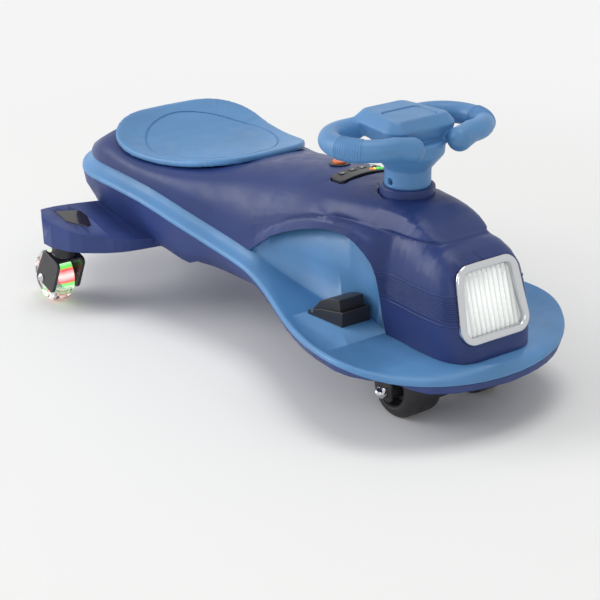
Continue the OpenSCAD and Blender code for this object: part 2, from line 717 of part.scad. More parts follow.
column_base_z = ridge_z + column_rise;
collar_lip = 2;
collar_floor_z = column_base_z - gap;
collar_h = column_base_z + collar_lip - collar_foot_z;
bush_wall = 5;
bush_r = shaft_r + bush_wall;
module column_collar() {
    color(navy) translate([column_x, 0, collar_foot_z]) rotate_extrude() polygon([
        [bush_r + fit, 0],
        [hole_collar_r - wall, 0],
        [hole_collar_r, wall],
        [hole_collar_r, collar_h - wall / 2],
        [hole_collar_r - wall / 2, collar_h],
        [column_r + gap, collar_h],
        [column_r + gap, collar_floor_z - collar_foot_z],
        [bush_r + fit, collar_floor_z - collar_foot_z]
    ]);
}
module plain_bush(out_r, in_r, h) {
    difference() {
        cylinder(r = out_r, h = h);
        translate([0, 0, -over]) cylinder(r = in_r, h = h + 2 * over);
    }
}
module upper_bush() {
    color(grey) translate([column_x, 0, collar_foot_z])
        plain_bush(bush_r, shaft_r + running, collar_floor_z - collar_foot_z - gap);
}
lower_bush_wall = 6;
lower_bush_r = shaft_r + lower_bush_wall;
lower_bush_h = 30;
lower_flange = 8;
lower_flange_r = lower_bush_r + lower_flange;
lower_flange_h = 4;
module lower_bush() {
    color(grey) translate([column_x, 0, belly_z]) difference() {
        union() {
            cylinder(r = lower_bush_r, h = lower_bush_h);
            translate([0, 0, wall + gap]) cylinder(r = lower_flange_r, h = lower_flange_h);
        }
        translate([0, 0, -over]) cylinder(r = shaft_r + running, h = lower_bush_h + 2 * over);
    }
}
truck_room = 3;
truck_top_z = belly_z - truck_room;
shaft_foot_z = 44;
shaft_in_share = 0.7;
shaft_in_hub = wheel_h * shaft_in_share;
shaft_top_z = column_base_z + shaft_in_hub;
module steering_shaft() {
    color(steel) translate([column_x, 0, shaft_foot_z]) difference() {
        cylinder(r = shaft_r, h = shaft_top_z - shaft_foot_z);
        translate([0, 0, screw_z - shaft_foot_z]) rotate([90, 0, 0])
            cylinder(r = screw_r + fit, h = 2 * column_r, center = true);
    }
}
nut_h = 8;
nut_r = 12;
thread_r = 5;
hex = 6;
module shaft_nut() {
    color(steel) translate([column_x, 0, shaft_foot_z - gap - nut_h]) difference() {
        cylinder(r = nut_r, h = nut_h, $fn = hex);
        translate([0, 0, nut_h / 2]) cylinder(r = thread_r, h = nut_h);
    }
}
screw_rise = 8;
screw_z = column_base_z + screw_rise;
screw_r = 2;
screw_head_r = 3.6;
screw_head_h = 2.5;
// Screw that holds the column on the shaft, sunk in the column's right side
module column_screw() {
    color(steel) translate([column_x, 0, screw_z]) rotate([90, 0, 0]) {
        translate([0, 0, -shaft_r / 2]) cylinder(r = screw_r, h = column_r + shaft_r / 2 - 2 * screw_head_h);
        translate([0, 0, column_r - 3 * screw_head_h]) cylinder(r = screw_head_r, h = screw_head_h);
    }
}

// Steering wheel, with its middle on the column

hub_top_z = column_base_z + wheel_h;
hub_foot_z = hub_top_z - hub_h;
shoulder_r_share = 1.55;
shoulder_h_share = 0.28;
funnel_h_share = 0.32;
stem_h = hub_foot_z - column_base_z;
shoulder_h = stem_h * shoulder_h_share;
funnel_h = stem_h * funnel_h_share;
neck_r = 8;
hub_r = 20;
hub_chamfer = 11;
hub_chamfer_h = 9;
hub_flat_h = 2;
hub_taper_share = 0.8;
hub_lean = 7;
hub_back = 11.5;
horn_l = 38;
horn_w = 54;
horn_depth = 7;
horn_r = 7;
horn_low = 1;
rib_angle = 1.6;
rib_step = 3;
rib_turn = 50;
rib_h = 0.6;
loop_back = 2;
arm_end_y = 34;
arm_sweep = 4;
arm_droop = 4;
arm_tip_share = 1.1;
joint_swell = 0.3;
grip_z = hub_foot_z + hub_lean;
function hub_outline(in) = rounded([
    [-hub_l / 2 + in, -hub_w / 2 * hub_taper_share + in],
    [hub_l / 2 - in, -hub_w / 2 + in],
    [hub_l / 2 - in, hub_w / 2 - in],
    [-hub_l / 2 + in, hub_w / 2 * hub_taper_share - in]
], hub_r - in);
// Hub plate in level slices: its leaning sides, its broad chamfer and its flat top
hub_slices = [
    [0, hub_lean], [hub_h - hub_chamfer_h - hub_flat_h, 0], [hub_h - hub_flat_h, hub_chamfer - hub_flat_h],
    [hub_h, hub_chamfer]
];
module hub_body() {
    n = len(hub_outline(0));
    rows = [for (k = hub_slices) [for (p = hub_outline(k[1])) [p[0], p[1], k[0]]]];
    last = (len(rows) - 1) * n;
    polyhedron(
        points = [for (r = rows) each r],
        faces = concat(
            [[for (j = [0:n - 1]) j]],
            [for (i = [0:len(rows) - 2], j = [0:n - 1])
                each tri([i * n + j, (i + 1) * n + j, (i + 1) * n + (j + 1) % n, i * n + (j + 1) % n])],
            [[for (j = [n - 1:-1:0]) last + j]]
        )
    );
}
module grip_loop() {
    arm = [arm_sweep, arm_end_y - loop_y, -arm_droop];
    translate([-loop_back, loop_y, 0]) {
        rotate_extrude(angle = 180) translate([loop_r, 0]) circle(r = grip_r);
        for (k = [0:grip_ribs - 1])
            rotate([0, 0, rib_turn + k * rib_step - rib_angle / 2])
                rotate_extrude(angle = rib_angle) translate([loop_r, 0]) circle(r = grip_r + rib_h);
        translate([loop_r, 0, 0]) {
            sphere(r = grip_r + joint_swell);
            multmatrix(along(arm)) cylinder(r1 = grip_r, r2 = grip_r * arm_tip_share, h = norm(arm));
            translate(arm) sphere(r = grip_r * arm_tip_share + joint_swell);
        }
        translate([-loop_r, 0, 0]) rotate([90, 0, 0]) cylinder(r = grip_r, h = loop_y - arm_end_y);
    }
    translate([loop_r - loop_back, arm_end_y, -arm_droop]) rotate([0, -90, 0])
        cylinder(r = neck_r, h = loop_r);
}
// Frame whose Z runs along a given way
function along(way) =
    let (
        z = way / norm(way),
        x = cross([0, 0, 1], z) / norm(cross([0, 0, 1], z)),
        y = cross(z, x)
    )
    [[x[0], y[0], z[0], 0], [x[1], y[1], z[1], 0], [x[2], y[2], z[2], 0], [0, 0, 0, 1]];
module steering_wheel() {
    color(light_blue) translate([column_x, 0, 0]) difference() {
        union() {
            translate([-hub_back, 0, hub_foot_z]) hub_body();
            translate([0, 0, hub_foot_z - shoulder_h])
                cylinder(r = column_r * shoulder_r_share, h = shoulder_h + gap);
            translate([0, 0, hub_foot_z - shoulder_h - funnel_h])
                cylinder(r1 = column_r, r2 = column_r * shoulder_r_share, h = funnel_h);
            translate([0, 0, column_base_z]) cylinder(r = column_r, h = stem_h - shoulder_h);
            for (side = [0, 1]) mirror([0, side, 0]) translate([0, 0, grip_z]) grip_loop();
        }
        translate([0, 0, column_base_z - over])
            cylinder(r = shaft_r + fit, h = shaft_in_hub + 2 * over);
        translate([0, 0, hub_top_z - horn_depth])
            linear_extrude(horn_depth + over) polygon(rounded(box_outline(horn_l, horn_w), horn_r));
        translate([0, 0, screw_z]) rotate([90, 0, 0]) {
            cylinder(r = screw_r + fit, h = column_r);
            translate([0, 0, column_r - 3 * screw_head_h - gap])
                cylinder(r = screw_head_r + gap, h = column_r);
        }
    }
}
module horn_pad() {
    color(light_blue) translate([column_x, 0, hub_top_z - horn_depth + horn_travel + gap])
        linear_extrude(horn_depth - horn_travel - gap - horn_low)
            polygon(rounded(box_outline(horn_l - 2 * gap, horn_w - 2 * gap), horn_r - gap));
}

// Front truck

axle_x = column_x + truck_lead;
arm_gap = 4;
arm_t = 5;
arm_in = front_track + front_w / 2 + arm_gap;
plate_gap = 0.8;
truck_plate_z = 2 * front_r + plate_gap;
boss_wall = 8;
boss_r = shaft_r + boss_wall;
arm_r = 11;
arm_back = 25;
arm_front = 15;
truck_outline = [
    [column_x - boss_r, -boss_r], [axle_x - arm_back, -arm_in - arm_t], [axle_x + arm_front, -arm_in - arm_t],
    [axle_x + arm_front, arm_in + arm_t], [axle_x - arm_back, arm_in + arm_t], [column_x - boss_r, boss_r]
];
module truck_frame() {
    color(black) difference() {
        union() {
            translate([column_x, 0, shaft_foot_z]) cylinder(r = boss_r, h = truck_top_z - shaft_foot_z);
            translate([0, 0, truck_plate_z])
                linear_extrude(truck_top_z - truck_plate_z) polygon(rounded(truck_outline, arm_t));
            for (side = [-1, 1])
                translate([0, side * (arm_in + arm_t / 2) + arm_t / 2, 0]) rotate([90, 0, 0])
                    linear_extrude(arm_t) polygon(rounded([
                        [axle_x - arm_r, front_r - arm_r],
                        [axle_x + arm_r, front_r - arm_r],
                        [axle_x + arm_front - arm_t, truck_top_z - gap],
                        [axle_x - arm_back + arm_t, truck_top_z - gap]
                    ], arm_t));
        }
        translate([column_x, 0, shaft_foot_z - over]) cylinder(r = shaft_r + fit, h = truck_top_z);
        translate([axle_x, 0, front_r]) rotate([90, 0, 0])
            cylinder(r = front_axle_r + fit, h = 3 * arm_in, center = true);
    }
}
axle_out = 5;
axle_l = 2 * (arm_in + arm_t + axle_out);
module front_axle() {
    color(steel) translate([axle_x, 0, front_r]) rotate([90, 0, 0])
        cylinder(r = front_axle_r, h = axle_l, center = true);
}
dome_r = 7;
dome_h = 6;
dome_share = 0.86;
// Domed cap nuts on both ends of the axle
module axle_nuts() {
    color(steel) for (side = [0, 1])
        mirror([0, side, 0]) translate([axle_x, arm_in + arm_t + gap / 2, front_r]) rotate([-90, 0, 0])
            difference() {
                union() {
                    cylinder(r = dome_r, h = dome_h, $fn = hex);
                    translate([0, 0, dome_h]) intersection() {
                        sphere(r = dome_r * dome_share);
                        cylinder(r = dome_r, h = dome_r);
                    }
                }
                translate([0, 0, -over]) cylinder(r = front_axle_r + fit, h = axle_out + over);
            }
}
tyre_round = 11;
hub_share = 0.62;
hub_side = 1.5;
web_share = 0.3;
round_steps = 6;
// Tyre with rounded shoulders, on the Y axis
module tyre(r, w, in_r, round_r) {
    turn = 90 / round_steps;
    rotate([90, 0, 0]) rotate_extrude() polygon([
        [in_r, -w / 2],
        for (k = [0:round_steps])
            [r - round_r + round_r * sin(k * turn), -w / 2 + round_r - round_r * cos(k * turn)],
        for (k = [0:round_steps])
            [r - round_r + round_r * cos(k * turn), w / 2 - round_r + round_r * sin(k * turn)],
        [in_r, w / 2]
    ]);
}
// Wheel hub with a thinned web, on the Y axis
module hub(r, w, bore, boss_w) {
    core = bore + hub_side * 2;
    rim_in = r - hub_side * 2;
    rotate([90, 0, 0]) rotate_extrude() polygon([
        [bore, -boss_w / 2], [core, -boss_w / 2], [core + hub_side, -w / 2 * web_share],
        [rim_in, -w / 2 * web_share],
        [rim_in + hub_side, -w / 2 + hub_side], [r, -w / 2 + hub_side], [r, w / 2 - hub_side],
        [rim_in + hub_side, w / 2 - hub_side], [rim_in, w / 2 * web_share],
        [core + hub_side, w / 2 * web_share],
        [core, boss_w / 2], [bore, boss_w / 2]
    ]);
}
front_bush_wall = 3;
front_bush_r = front_axle_r + front_bush_wall;
front_boss_w = front_w + 2 * arm_gap - 2 * gap;
module at_front(side) {
    translate([axle_x, side * front_track, front_r]) children();
}
module front_tyre(side) {
    color(black) at_front(side) tyre(front_r, front_w, front_r * hub_share + fit, tyre_round);
}
module front_hub(side) {
    color(black) at_front(side) hub(front_r * hub_share, front_w, front_bush_r + fit, front_boss_w);
}
module front_bush(side) {
    color(grey) at_front(side) rotate([90, 0, 0]) translate([0, 0, -front_boss_w / 2])
        plain_bush(front_bush_r, front_axle_r + running, front_boss_w);
}
module front_tyre_left() { front_tyre(1); }
module front_hub_left() { front_hub(1); }
module front_bush_left() { front_bush(1); }
module front_tyre_right() { front_tyre(-1); }
module front_hub_right() { front_hub(-1); }
module front_bush_right() { front_bush(-1); }
motor_r = 14;
gearbox_w = 20;
gearbox_r = 20;
gearbox_back = 34;
motor_back = 20;
motor_rise = 18;
motor_x = axle_x - motor_back;
motor_z = front_r + motor_rise;
gearbox_y = -front_track + front_boss_w / 2 + gap;
// Closed gear case on the axle, with the motor beside it
module gearbox() {
    color(black) difference() {
        translate([0, gearbox_y + gearbox_w, 0]) rotate([90, 0, 0])
            linear_extrude(gearbox_w) polygon(rounded([
            [axle_x - gearbox_back, motor_z - motor_r],
            [axle_x - gearbox_r / 2, front_r - gearbox_r],
            [axle_x + gearbox_r, front_r - gearbox_r],
            [axle_x + gearbox_r, front_r + gearbox_r],
            [motor_x, truck_plate_z - gap],
            [axle_x - gearbox_back, truck_plate_z - gap]
        ], gearbox_r / 4));
        translate([axle_x, gearbox_y - over, front_r]) rotate([-90, 0, 0])
            cylinder(r = front_axle_r + running, h = gearbox_w + 2 * over);
    }
}
shaft_end_l = 3;
motor_l = -2 * gearbox_y - gearbox_w - shaft_end_l;
module drive_motor() {
    color(steel) translate([motor_x, gearbox_y + gearbox_w + gap / 2, motor_z]) rotate([-90, 0, 0]) {
        cylinder(r = motor_r, h = motor_l - shaft_end_l);
        cylinder(r = motor_r / 3, h = motor_l);
    }
}

// Casters

plate_t = 4;
fork_gap = 3;
fork_in = rear_w / 2 + fork_gap;
rear_axle_x = caster_x - trail;
roof_t = 4;
fork_boss_r = 14;
plate_share = [[0.79, -0.48], [1.4, 0.88], [0.3, 1.22], [-0.46, -0.06]];
plate_points = [for (p = plate_share) p * rear_r];
plate_r = 7;
stem_flange_h = 1.5;
fork_top_z = wing_under_z - 2 * stem_flange_h - gap;
stem_bush_wall = 4;
stem_bush_r = stem_r + stem_bush_wall;
stem_bush_h = 22;
stem_foot = 7;
module caster_fork(side) {
    roof_dir = (plate_points[1] - plate_points[2]) / norm(plate_points[1] - plate_points[2]);
    roof_in = [roof_dir[1], -roof_dir[0]] * roof_t;
    roof = [plate_points[2] + roof_dir * plate_r, plate_points[1] - roof_dir * plate_r];
    color(black) translate([rear_axle_x, side * caster_y, rear_r]) difference() {
        union() {
            for (y = [fork_in + plate_t, -fork_in])
                translate([0, y, 0]) rotate([90, 0, 0])
                    linear_extrude(plate_t) polygon(rounded(plate_points, plate_r));
            translate([0, fork_in + plate_t / 2, 0]) rotate([90, 0, 0]) linear_extrude(2 * fork_in + plate_t)
                polygon([roof[0], roof[0] + roof_in, roof[1] + roof_in, roof[1]]);
            translate([trail, 0, plate_points[2][1] - stem_foot]) cylinder(r = fork_boss_r,
                h = fork_top_z - rear_r - plate_points[2][1] + stem_foot);
        }
        translate([trail, 0, plate_points[2][1] - stem_foot / 2]) cylinder(r = stem_r + fit, h = wing_top_z);
        rotate([90, 0, 0]) cylinder(r = bolt_r + fit, h = 4 * fork_in, center = true);
    }
}
module caster_stem(side) {
    foot = rear_r + plate_points[2][1] - stem_foot / 2;
    color(steel) translate([caster_x, side * caster_y, foot])
        cylinder(r = stem_r, h = wing_under_z + stem_bush_h - gap - over - foot);
}
module caster_bush(side) {
    color(grey) translate([caster_x, side * caster_y, 0]) difference() {
        union() {
            translate([0, 0, wing_under_z - 2 * stem_flange_h])
                cylinder(r = fork_boss_r, h = 2 * stem_flange_h);
            translate([0, 0, wing_under_z]) cylinder(r = stem_bush_r, h = stem_bush_h - gap);
        }
        translate([0, 0, wing_under_z - 2 * stem_flange_h - over])
            cylinder(r = stem_r + running, h = stem_bush_h + 2 * stem_flange_h + 2 * over);
    }
}
bolt_head_r = 6;
bolt_head_h = 3;
// Axle bolt with a round head outside and a nut inside
module caster_axle(side) {
    color(steel) translate([rear_axle_x, side * caster_y, rear_r]) rotate([-90 * side, 0, 0]) {
        cylinder(r = bolt_r, h = 2 * (fork_in + plate_t) + 2 * bolt_head_h, center = true);
        translate([0, 0, fork_in + plate_t + gap / 2])
            cylinder(r1 = bolt_head_r, r2 = bolt_head_r / 2, h = bolt_head_h);
        translate([0, 0, -fork_in - plate_t - gap / 2 - bolt_head_h])
            cylinder(r = bolt_head_r, h = bolt_head_h, $fn = hex);
    }
}
ring_in_share = 0.55;
ring_out_share = 0.64;
rear_round = 8;
module at_rear(side) {
    translate([rear_axle_x, side * caster_y, rear_r]) children();
}
module rear_tyre(side) {
    color("#e8eef0") at_rear(side) tyre(rear_r, rear_w, rear_r * ring_out_share + fit, rear_round);
}
module rear_hub(side) {
    color("#d8dde0") at_rear(side)
        hub(rear_r * ring_in_share, rear_w, bolt_r + running, rear_w + 2 * fork_gap - 2 * gap);
}
// Ring of lights between the hub and the clear tyre
module rear_ring(side) {
    ring_w = rear_w - 4 * hub_side;
    color("#e05050") at_rear(side) rotate([90, 0, 0]) translate([0, 0, -ring_w / 2])
        plain_bush(rear_r * ring_out_share, rear_r * ring_in_share + fit, ring_w);
}
module caster_fork_left() { caster_fork(1); }
module caster_stem_left() { caster_stem(1); }
module caster_axle_left() { caster_axle(1); }
module caster_bush_left() { caster_bush(1); }
module caster_fork_right() { caster_fork(-1); }
module caster_stem_right() { caster_stem(-1); }
module caster_axle_right() { caster_axle(-1); }
module caster_bush_right() { caster_bush(-1); }
module rear_tyre_left() { rear_tyre(1); }
module rear_hub_left() { rear_hub(1); }
module rear_ring_left() { rear_ring(1); }
module rear_tyre_right() { rear_tyre(-1); }
module rear_hub_right() { rear_hub(-1); }
module rear_ring_right() { rear_ring(-1); }

// Headlight, in a frame whose X is across the car, Y is up the nose and Z is out of it

rake_angle = atan((x_at(nose_end_share) - x_at(rake_share)) / (rake_top_z - floor_z - wall));
light_up = 9;
light_mid_z = (rake_top_z + floor_z) / 2 + light_up;
light_mid_x = x_at(rake_share)
    + (x_at(nose_end_share) - x_at(rake_share)) * (rake_top_z - light_mid_z) / (rake_top_z - floor_z - wall);
light_depth = 24;
bezel_proud = 3;
bezel_depth = 12;
bezel_r = 18;
lens_t = 3;
lens_back = 4;
module on_nose() {
    translate([light_mid_x, 0, light_mid_z]) rotate([0, 90 - rake_angle, 0]) rotate([0, 0, 90]) children();
}
function light_outline(in) = rounded([
    [-light_half_w + in, -light_h / 2 + in],
    [light_half_w - in, -light_h / 2 + in],
    [light_top_half_w - in, light_h / 2 - in],
    [-light_top_half_w + in, light_h / 2 - in]
], bezel_r - in);
function bezel_outline(out) = light_outline(-out);
module headlight_bezel() {
    color("#d8dadd") on_nose() difference() {
        translate([0, 0, -bezel_depth]) linear_extrude(bezel_depth + bezel_proud) polygon(light_outline(0));
        translate([0, 0, -bezel_depth - over])
            linear_extrude(bezel_depth + bezel_proud + 2 * over) polygon(light_outline(bezel_w));
    }
}
flute_share = 0.6;
module headlight_lens() {
    pitch = 2 * (light_top_half_w - bezel_w) / (lens_flutes + 1);
    color("#e6eef4") on_nose() translate([0, 0, -lens_back - lens_t]) {
        linear_extrude(lens_t) polygon(light_outline(bezel_w + gap));
        for (k = [0:lens_flutes - 1])
            translate([(k - (lens_flutes - 1) / 2) * pitch, 0, lens_t]) rotate([90, 0, 0])
                cylinder(r = pitch * flute_share / 2, h = light_h - 3 * bezel_w, center = true);
    }
}
reflector_depth = 16;
module headlight_reflector() {
    top = -lens_back - lens_t - gap;
    color(steel) on_nose() difference() {
        translate([0, 0, top - reflector_depth]) linear_extrude(reflector_depth)
            polygon(light_outline(bezel_w + gap));
        translate([0, 0, top - reflector_depth + wall]) linear_extrude(reflector_depth)
            polygon(light_outline(bezel_w + wall));
        translate([0, 0, top - reflector_depth - over]) cylinder(r = lamp_r + gap, h = wall + 2 * over);
    }
}
lamp_r = 9;
lamp_h = 8;
module headlight_lamp() {
    color("#fff6d8") on_nose() translate([0, 0, -lens_back - lens_t - gap - reflector_depth]) {
        cylinder(r = lamp_r, h = lamp_h);
        translate([0, 0, -wall]) cylinder(r = lamp_r + wall, h = wall - gap);
    }
}

// Tail lights, in a frame that lies on the wing's top

tail_fore = 2;
tail_in = 20;
tail_x = caster_x + tail_fore;
tail_y = caster_y - tail_in;
tail_h = 4;
tail_l = 54;
tail_w = 36;
tail_shares = [[-0.5, 0.43], [-0.4, -0.5], [-0.05, -0.49], [0.43, -0.2], [0.5, 0.02], [0.08, 0.49]];
tail_r = 4;
tail_proud = 0.5;
module on_wing(side) {
    translate([tail_x, side * tail_y, wing_top(tail_x, tail_y)])
        rotate([side * atan(wing_slope_out_share), atan(wing_slope_aft_share), 0]) children();
}
function tail_outline(side, out) =
    let (
        n = len(tail_shares),
        points = [for (p = tail_shares) [p[0] * (tail_l + 2 * out), side * p[1] * (tail_w + 2 * out)]]
    )
    rounded(side > 0 ? points : [for (i = [n - 1:-1:0]) points[i]], tail_r);
module tail_light(side) {
    color(black) on_wing(side) translate([0, 0, -tail_h + gap]) linear_extrude(tail_h - gap + tail_proud)
        polygon(tail_outline(side, 0));
}
module tail_light_left() { tail_light(1); }
module tail_light_right() { tail_light(-1); }

// Controls on the ridge

panel_rise = 1.5;
panel_z = ridge_z + panel_rise;
panel_depth = 18;
panel_crown_r = 150;
panel_r = 6;
key_l = 7;
key_w = 10;
key_h = 4;
key_r = 2;
key_pitch = 14;
key_proud = 0.5;
led_r = 1.7;
led_pitch = 5;
led_depth = 2;
row_x = 5.5;
led_row_y = 19;
function panel_top(y) = panel_z - panel_crown_r + sqrt(panel_crown_r * panel_crown_r - y * y);
module panel_block(l, w, depth) {
    translate([panel_x, 0, panel_z - depth])
        linear_extrude(2 * depth) polygon(rounded(box_outline(l, w), panel_r));
}
keys = 4;
function key_y(k) = (k - (keys - 1) / 2) * key_pitch;
function led_y(k) = led_row_y + (k - (keys - 1) / 2) * led_pitch;
module control_panel() {
    color(black) difference() {
        intersection() {
            panel_block(panel_l, panel_w, panel_depth);
            translate([panel_x, 0, panel_z - panel_crown_r]) rotate([0, 90, 0])
                cylinder(r = panel_crown_r, h = 2 * panel_l, center = true);
        }
        for (k = [0:keys - 1]) {
            translate([panel_x - row_x, key_y(k), panel_top(key_y(k)) + key_proud - key_h - key_travel - gap])
                linear_extrude(2 * key_h)
                    polygon(rounded(box_outline(key_l + 2 * gap, key_w + 2 * gap), key_r));
            translate([panel_x + row_x, led_y(k), panel_top(led_y(k)) - led_depth])
                cylinder(r = led_r + fit, h = 2 * led_depth);
        }
    }
}
module battery_leds() {
    color("#7fd05a") for (k = [0:keys - 1])
        translate([panel_x + row_x, led_y(k), panel_top(led_y(k)) - led_depth + fit]) {
            cylinder(r = led_r, h = led_depth);
            translate([0, 0, led_depth]) intersection() {
                sphere(r = led_r);
                cylinder(r = led_r, h = led_r);
            }
        }
}
module panel_key(k) {
    color("#e9ebee") translate([panel_x - row_x, key_y(k), panel_top(key_y(k)) + key_proud - key_h])
        linear_extrude(key_h) polygon(rounded(box_outline(key_l, key_w), key_r));
}
module key_1() { panel_key(0); }
module key_2() { panel_key(1); }
module key_3() { panel_key(2); }
module key_4() { panel_key(3); }
switch_wall = 2.5;
switch_r = button_r + switch_wall;
switch_h = 20;
switch_flange = 2;
switch_flange_h = 1.5;
switch_top_z = top_z(share_of(button_x)) + gap + switch_flange_h;
button_h = 9;
button_proud = 2.5;
module power_switch() {
    color(black) translate([button_x, 0, switch_top_z]) difference() {
        union() {
            translate([0, 0, -switch_h]) cylinder(r = switch_r, h = switch_h);
            translate([0, 0, -switch_flange_h]) cylinder(r = switch_r + switch_flange, h = switch_flange_h);
        }
        translate([0, 0, button_proud - button_h - button_travel - gap])
            cylinder(r = button_r + gap, h = 2 * button_h);
    }
}
module power_button() {
    color("#e0662a") translate([button_x, 0, switch_top_z + button_proud - button_h]) {
        cylinder(r = button_r, h = button_h - over);
        translate([0, 0, button_h - over]) cylinder(r1 = button_r, r2 = button_r - over, h = over);
    }
}

// Accelerator pedal

pedal_foot_z = plinth_z(pedal_x) + gap;
case_wall = 2.5;
case_rear_h = 4;
case_front_h = 20;
case_rise = 24;
case_rise_h = 13;
pad_gap = 0.5;
pad_front_gap = 4;
pin_r = 2;
pin_in = 8;
pin_up = 6;
pin_x = pedal_x + pin_in;
pin_z = pedal_foot_z + pin_up;
pad_boss_r = 3;
function case_foot(x) = plinth_z(x) + gap;
module pedal_extrude(w) {
    translate([0, pedal_y + w / 2, 0]) rotate([90, 0, 0]) linear_extrude(w) children();
}
module pedal_housing() {
    front = pedal_x + pedal_l;
    color(black) difference() {
        pedal_extrude(pedal_w) polygon([
            [pedal_x, case_foot(pedal_x)],
            [front, case_foot(front)],
            [front, pedal_foot_z + case_front_h],
            [pedal_x + case_rise, pedal_foot_z + case_rise_h],
            [pedal_x, pedal_foot_z + case_rear_h]
        ]);
        pedal_extrude(pedal_w - 2 * case_wall) polygon([
            [pedal_x + case_wall / 2, pedal_foot_z + case_wall],
            [front - case_wall, pedal_foot_z + 2 * case_wall],
            [front - case_wall, pedal_foot_z + pedal_h],
            [pedal_x + case_wall / 2, pedal_foot_z + pedal_h]
        ]);
        translate([pin_x, pedal_y, pin_z]) rotate([90, 0, 0])
            cylinder(r = pin_r + fit, h = 2 * pedal_w, center = true);
    }
}
module pedal_pin() {
    color(steel) translate([pin_x, pedal_y, pin_z]) rotate([90, 0, 0])
        cylinder(r = pin_r, h = pedal_w, center = true);
}
pad_w = pedal_w - 2 * case_wall - 2 * pad_gap;
pad_front_x = pedal_x + pedal_l - case_wall - pad_front_gap;
pad_lean = 3;
pad_under = 14;
pad_crown_shares = [[0.25, 0.52], [0.5, 0.76], [0.75, 0.92]];
module accelerator_pedal() {
    rear_z = pin_z + pad_boss_r - gap;
    top_x = pad_front_x - 2 * pad_lean;
    rise = pedal_foot_z + pedal_h - rear_z;
    color(black) difference() {
        union() {
            pedal_extrude(pad_w) polygon(concat(
                [[pin_x, pin_z - pad_boss_r / 2], [pad_front_x, pedal_foot_z + pad_under],
                    [pad_front_x - pad_lean, pedal_foot_z + pedal_h], [top_x, pedal_foot_z + pedal_h]],
                [for (k = [len(pad_crown_shares) - 1:-1:0])
                    let (p = pad_crown_shares[k]) [pin_x + (top_x - pin_x) * p[0], rear_z + rise * p[1]]],
                [[pin_x, rear_z]]
            ));
            translate([pin_x, pedal_y, pin_z]) rotate([90, 0, 0])
                cylinder(r = pad_boss_r, h = pad_w, center = true);
        }
        translate([pin_x, pedal_y, pin_z]) rotate([90, 0, 0])
            cylinder(r = pin_r + running, h = 2 * pedal_w, center = true);
    }
}
spring_r = 5;
wire_r = 0.7;
spring_sides = 6;
turn_rings = 8;
spring_share = 0.62;
spring_x = pedal_x + pedal_l * spring_share;
case_floor_z = pedal_foot_z + case_wall
    + case_wall * (spring_x + spring_r - pedal_x - case_wall / 2) / (pedal_l - case_wall * 3 / 2);
spring_foot_z = case_floor_z + wire_r + gap / 2;
spring_top_z = pin_z - pad_boss_r / 2 - wire_r - gap
    + (pedal_foot_z + pad_under - pin_z + pad_boss_r / 2)
        * (spring_x - spring_r - pin_x) / (pad_front_x - pin_x);
// As many open turns as the room under the pad holds
spring_turns = max(1, floor((spring_top_z - spring_foot_z) / (2 * wire_r + gap)));
function spring_ring(k) =
    let (
        n = spring_turns * turn_rings,
        a = 360 * k / turn_rings,
        middle = [spring_r * cos(a), spring_r * sin(a), spring_foot_z + (spring_top_z - spring_foot_z) * k / n]
    )
    [for (j = [0:spring_sides - 1])
        let (b = 360 * j / spring_sides)
        middle + wire_r * [cos(b) * cos(a), cos(b) * sin(a), sin(b)]];
// Return spring of the pedal
module pedal_spring() {
    n = spring_turns * turn_rings;
    m = spring_sides;
    color(steel) translate([spring_x, pedal_y, 0]) polyhedron(
        points = [for (k = [0:n]) each spring_ring(k)],
        faces = concat(
            [for (k = [0:n - 1], j = [0:m - 1])
                each [[k * m + j, k * m + (j + 1) % m, (k + 1) * m + j],
                    [(k + 1) * m + j, k * m + (j + 1) % m, (k + 1) * m + (j + 1) % m]]],
            [for (j = [1:m - 2]) [0, j + 1, j]],
            [for (j = [1:m - 2]) [n * m, n * m + j, n * m + j + 1]]
        )
    );
}

// Electrics inside the body

pack_l = 120;
pack_w = 70;
pack_h = 45;
pack_r = 6;
pack_share = 0.2467;
pack_x = x_at(pack_share);
board_l = 70;
board_w = 60;
board_h = 26;
board_share = 0.4467;
board_x = x_at(board_share);
inside_z = belly_z + wall + gap;
module battery_pack() {
    color("#2d4f86") translate([pack_x, 0, inside_z]) linear_extrude(pack_h)
        polygon(rounded(box_outline(pack_l, pack_w), pack_r));
}
module controller_box() {
    color(grey) translate([board_x, 0, inside_z]) linear_extrude(board_h)
        polygon(rounded(box_outline(board_l, board_w), pack_r / 2));
}
speaker_r = 18;
speaker_h = 13;
speaker_share = 0.7;
speaker_x = x_at(speaker_share);
speaker_lift = 1.8;
speaker_cone_share = 0.45;
module speaker() {
    color(black) translate([speaker_x, 0, lip_z(speaker_share) + speaker_lift]) rotate_extrude() polygon([
        [0, 0],
        [speaker_r * speaker_cone_share, 0],
        [speaker_r * speaker_cone_share, speaker_h / 2],
        [speaker_r, speaker_h - wall],
        [speaker_r, speaker_h],
        [speaker_r - wall, speaker_h],
        [speaker_r * speaker_cone_share, speaker_h / 2 + wall],
        [0, speaker_h / 2 + wall]
    ]);
}
socket_share = 0.1;
socket_x = x_at(socket_share);
socket_r = 6;
socket_h = 16;
socket_flange = 2.5;
socket_flange_h = 2;
socket_pin_r = 2.5;
// Charging socket, flush with the belly and held by a flange inside
module charge_socket() {
    color(black) translate([socket_x, 0, belly_z]) difference() {
        union() {
            translate([0, 0, wall + gap]) cylinder(r = socket_r + socket_flange, h = socket_flange_h);
            translate([0, 0, gap]) cylinder(r = socket_r, h = socket_h);
        }
        translate([0, 0, -over]) cylinder(r = socket_pin_r, h = socket_h / 2 + over);
    }
}

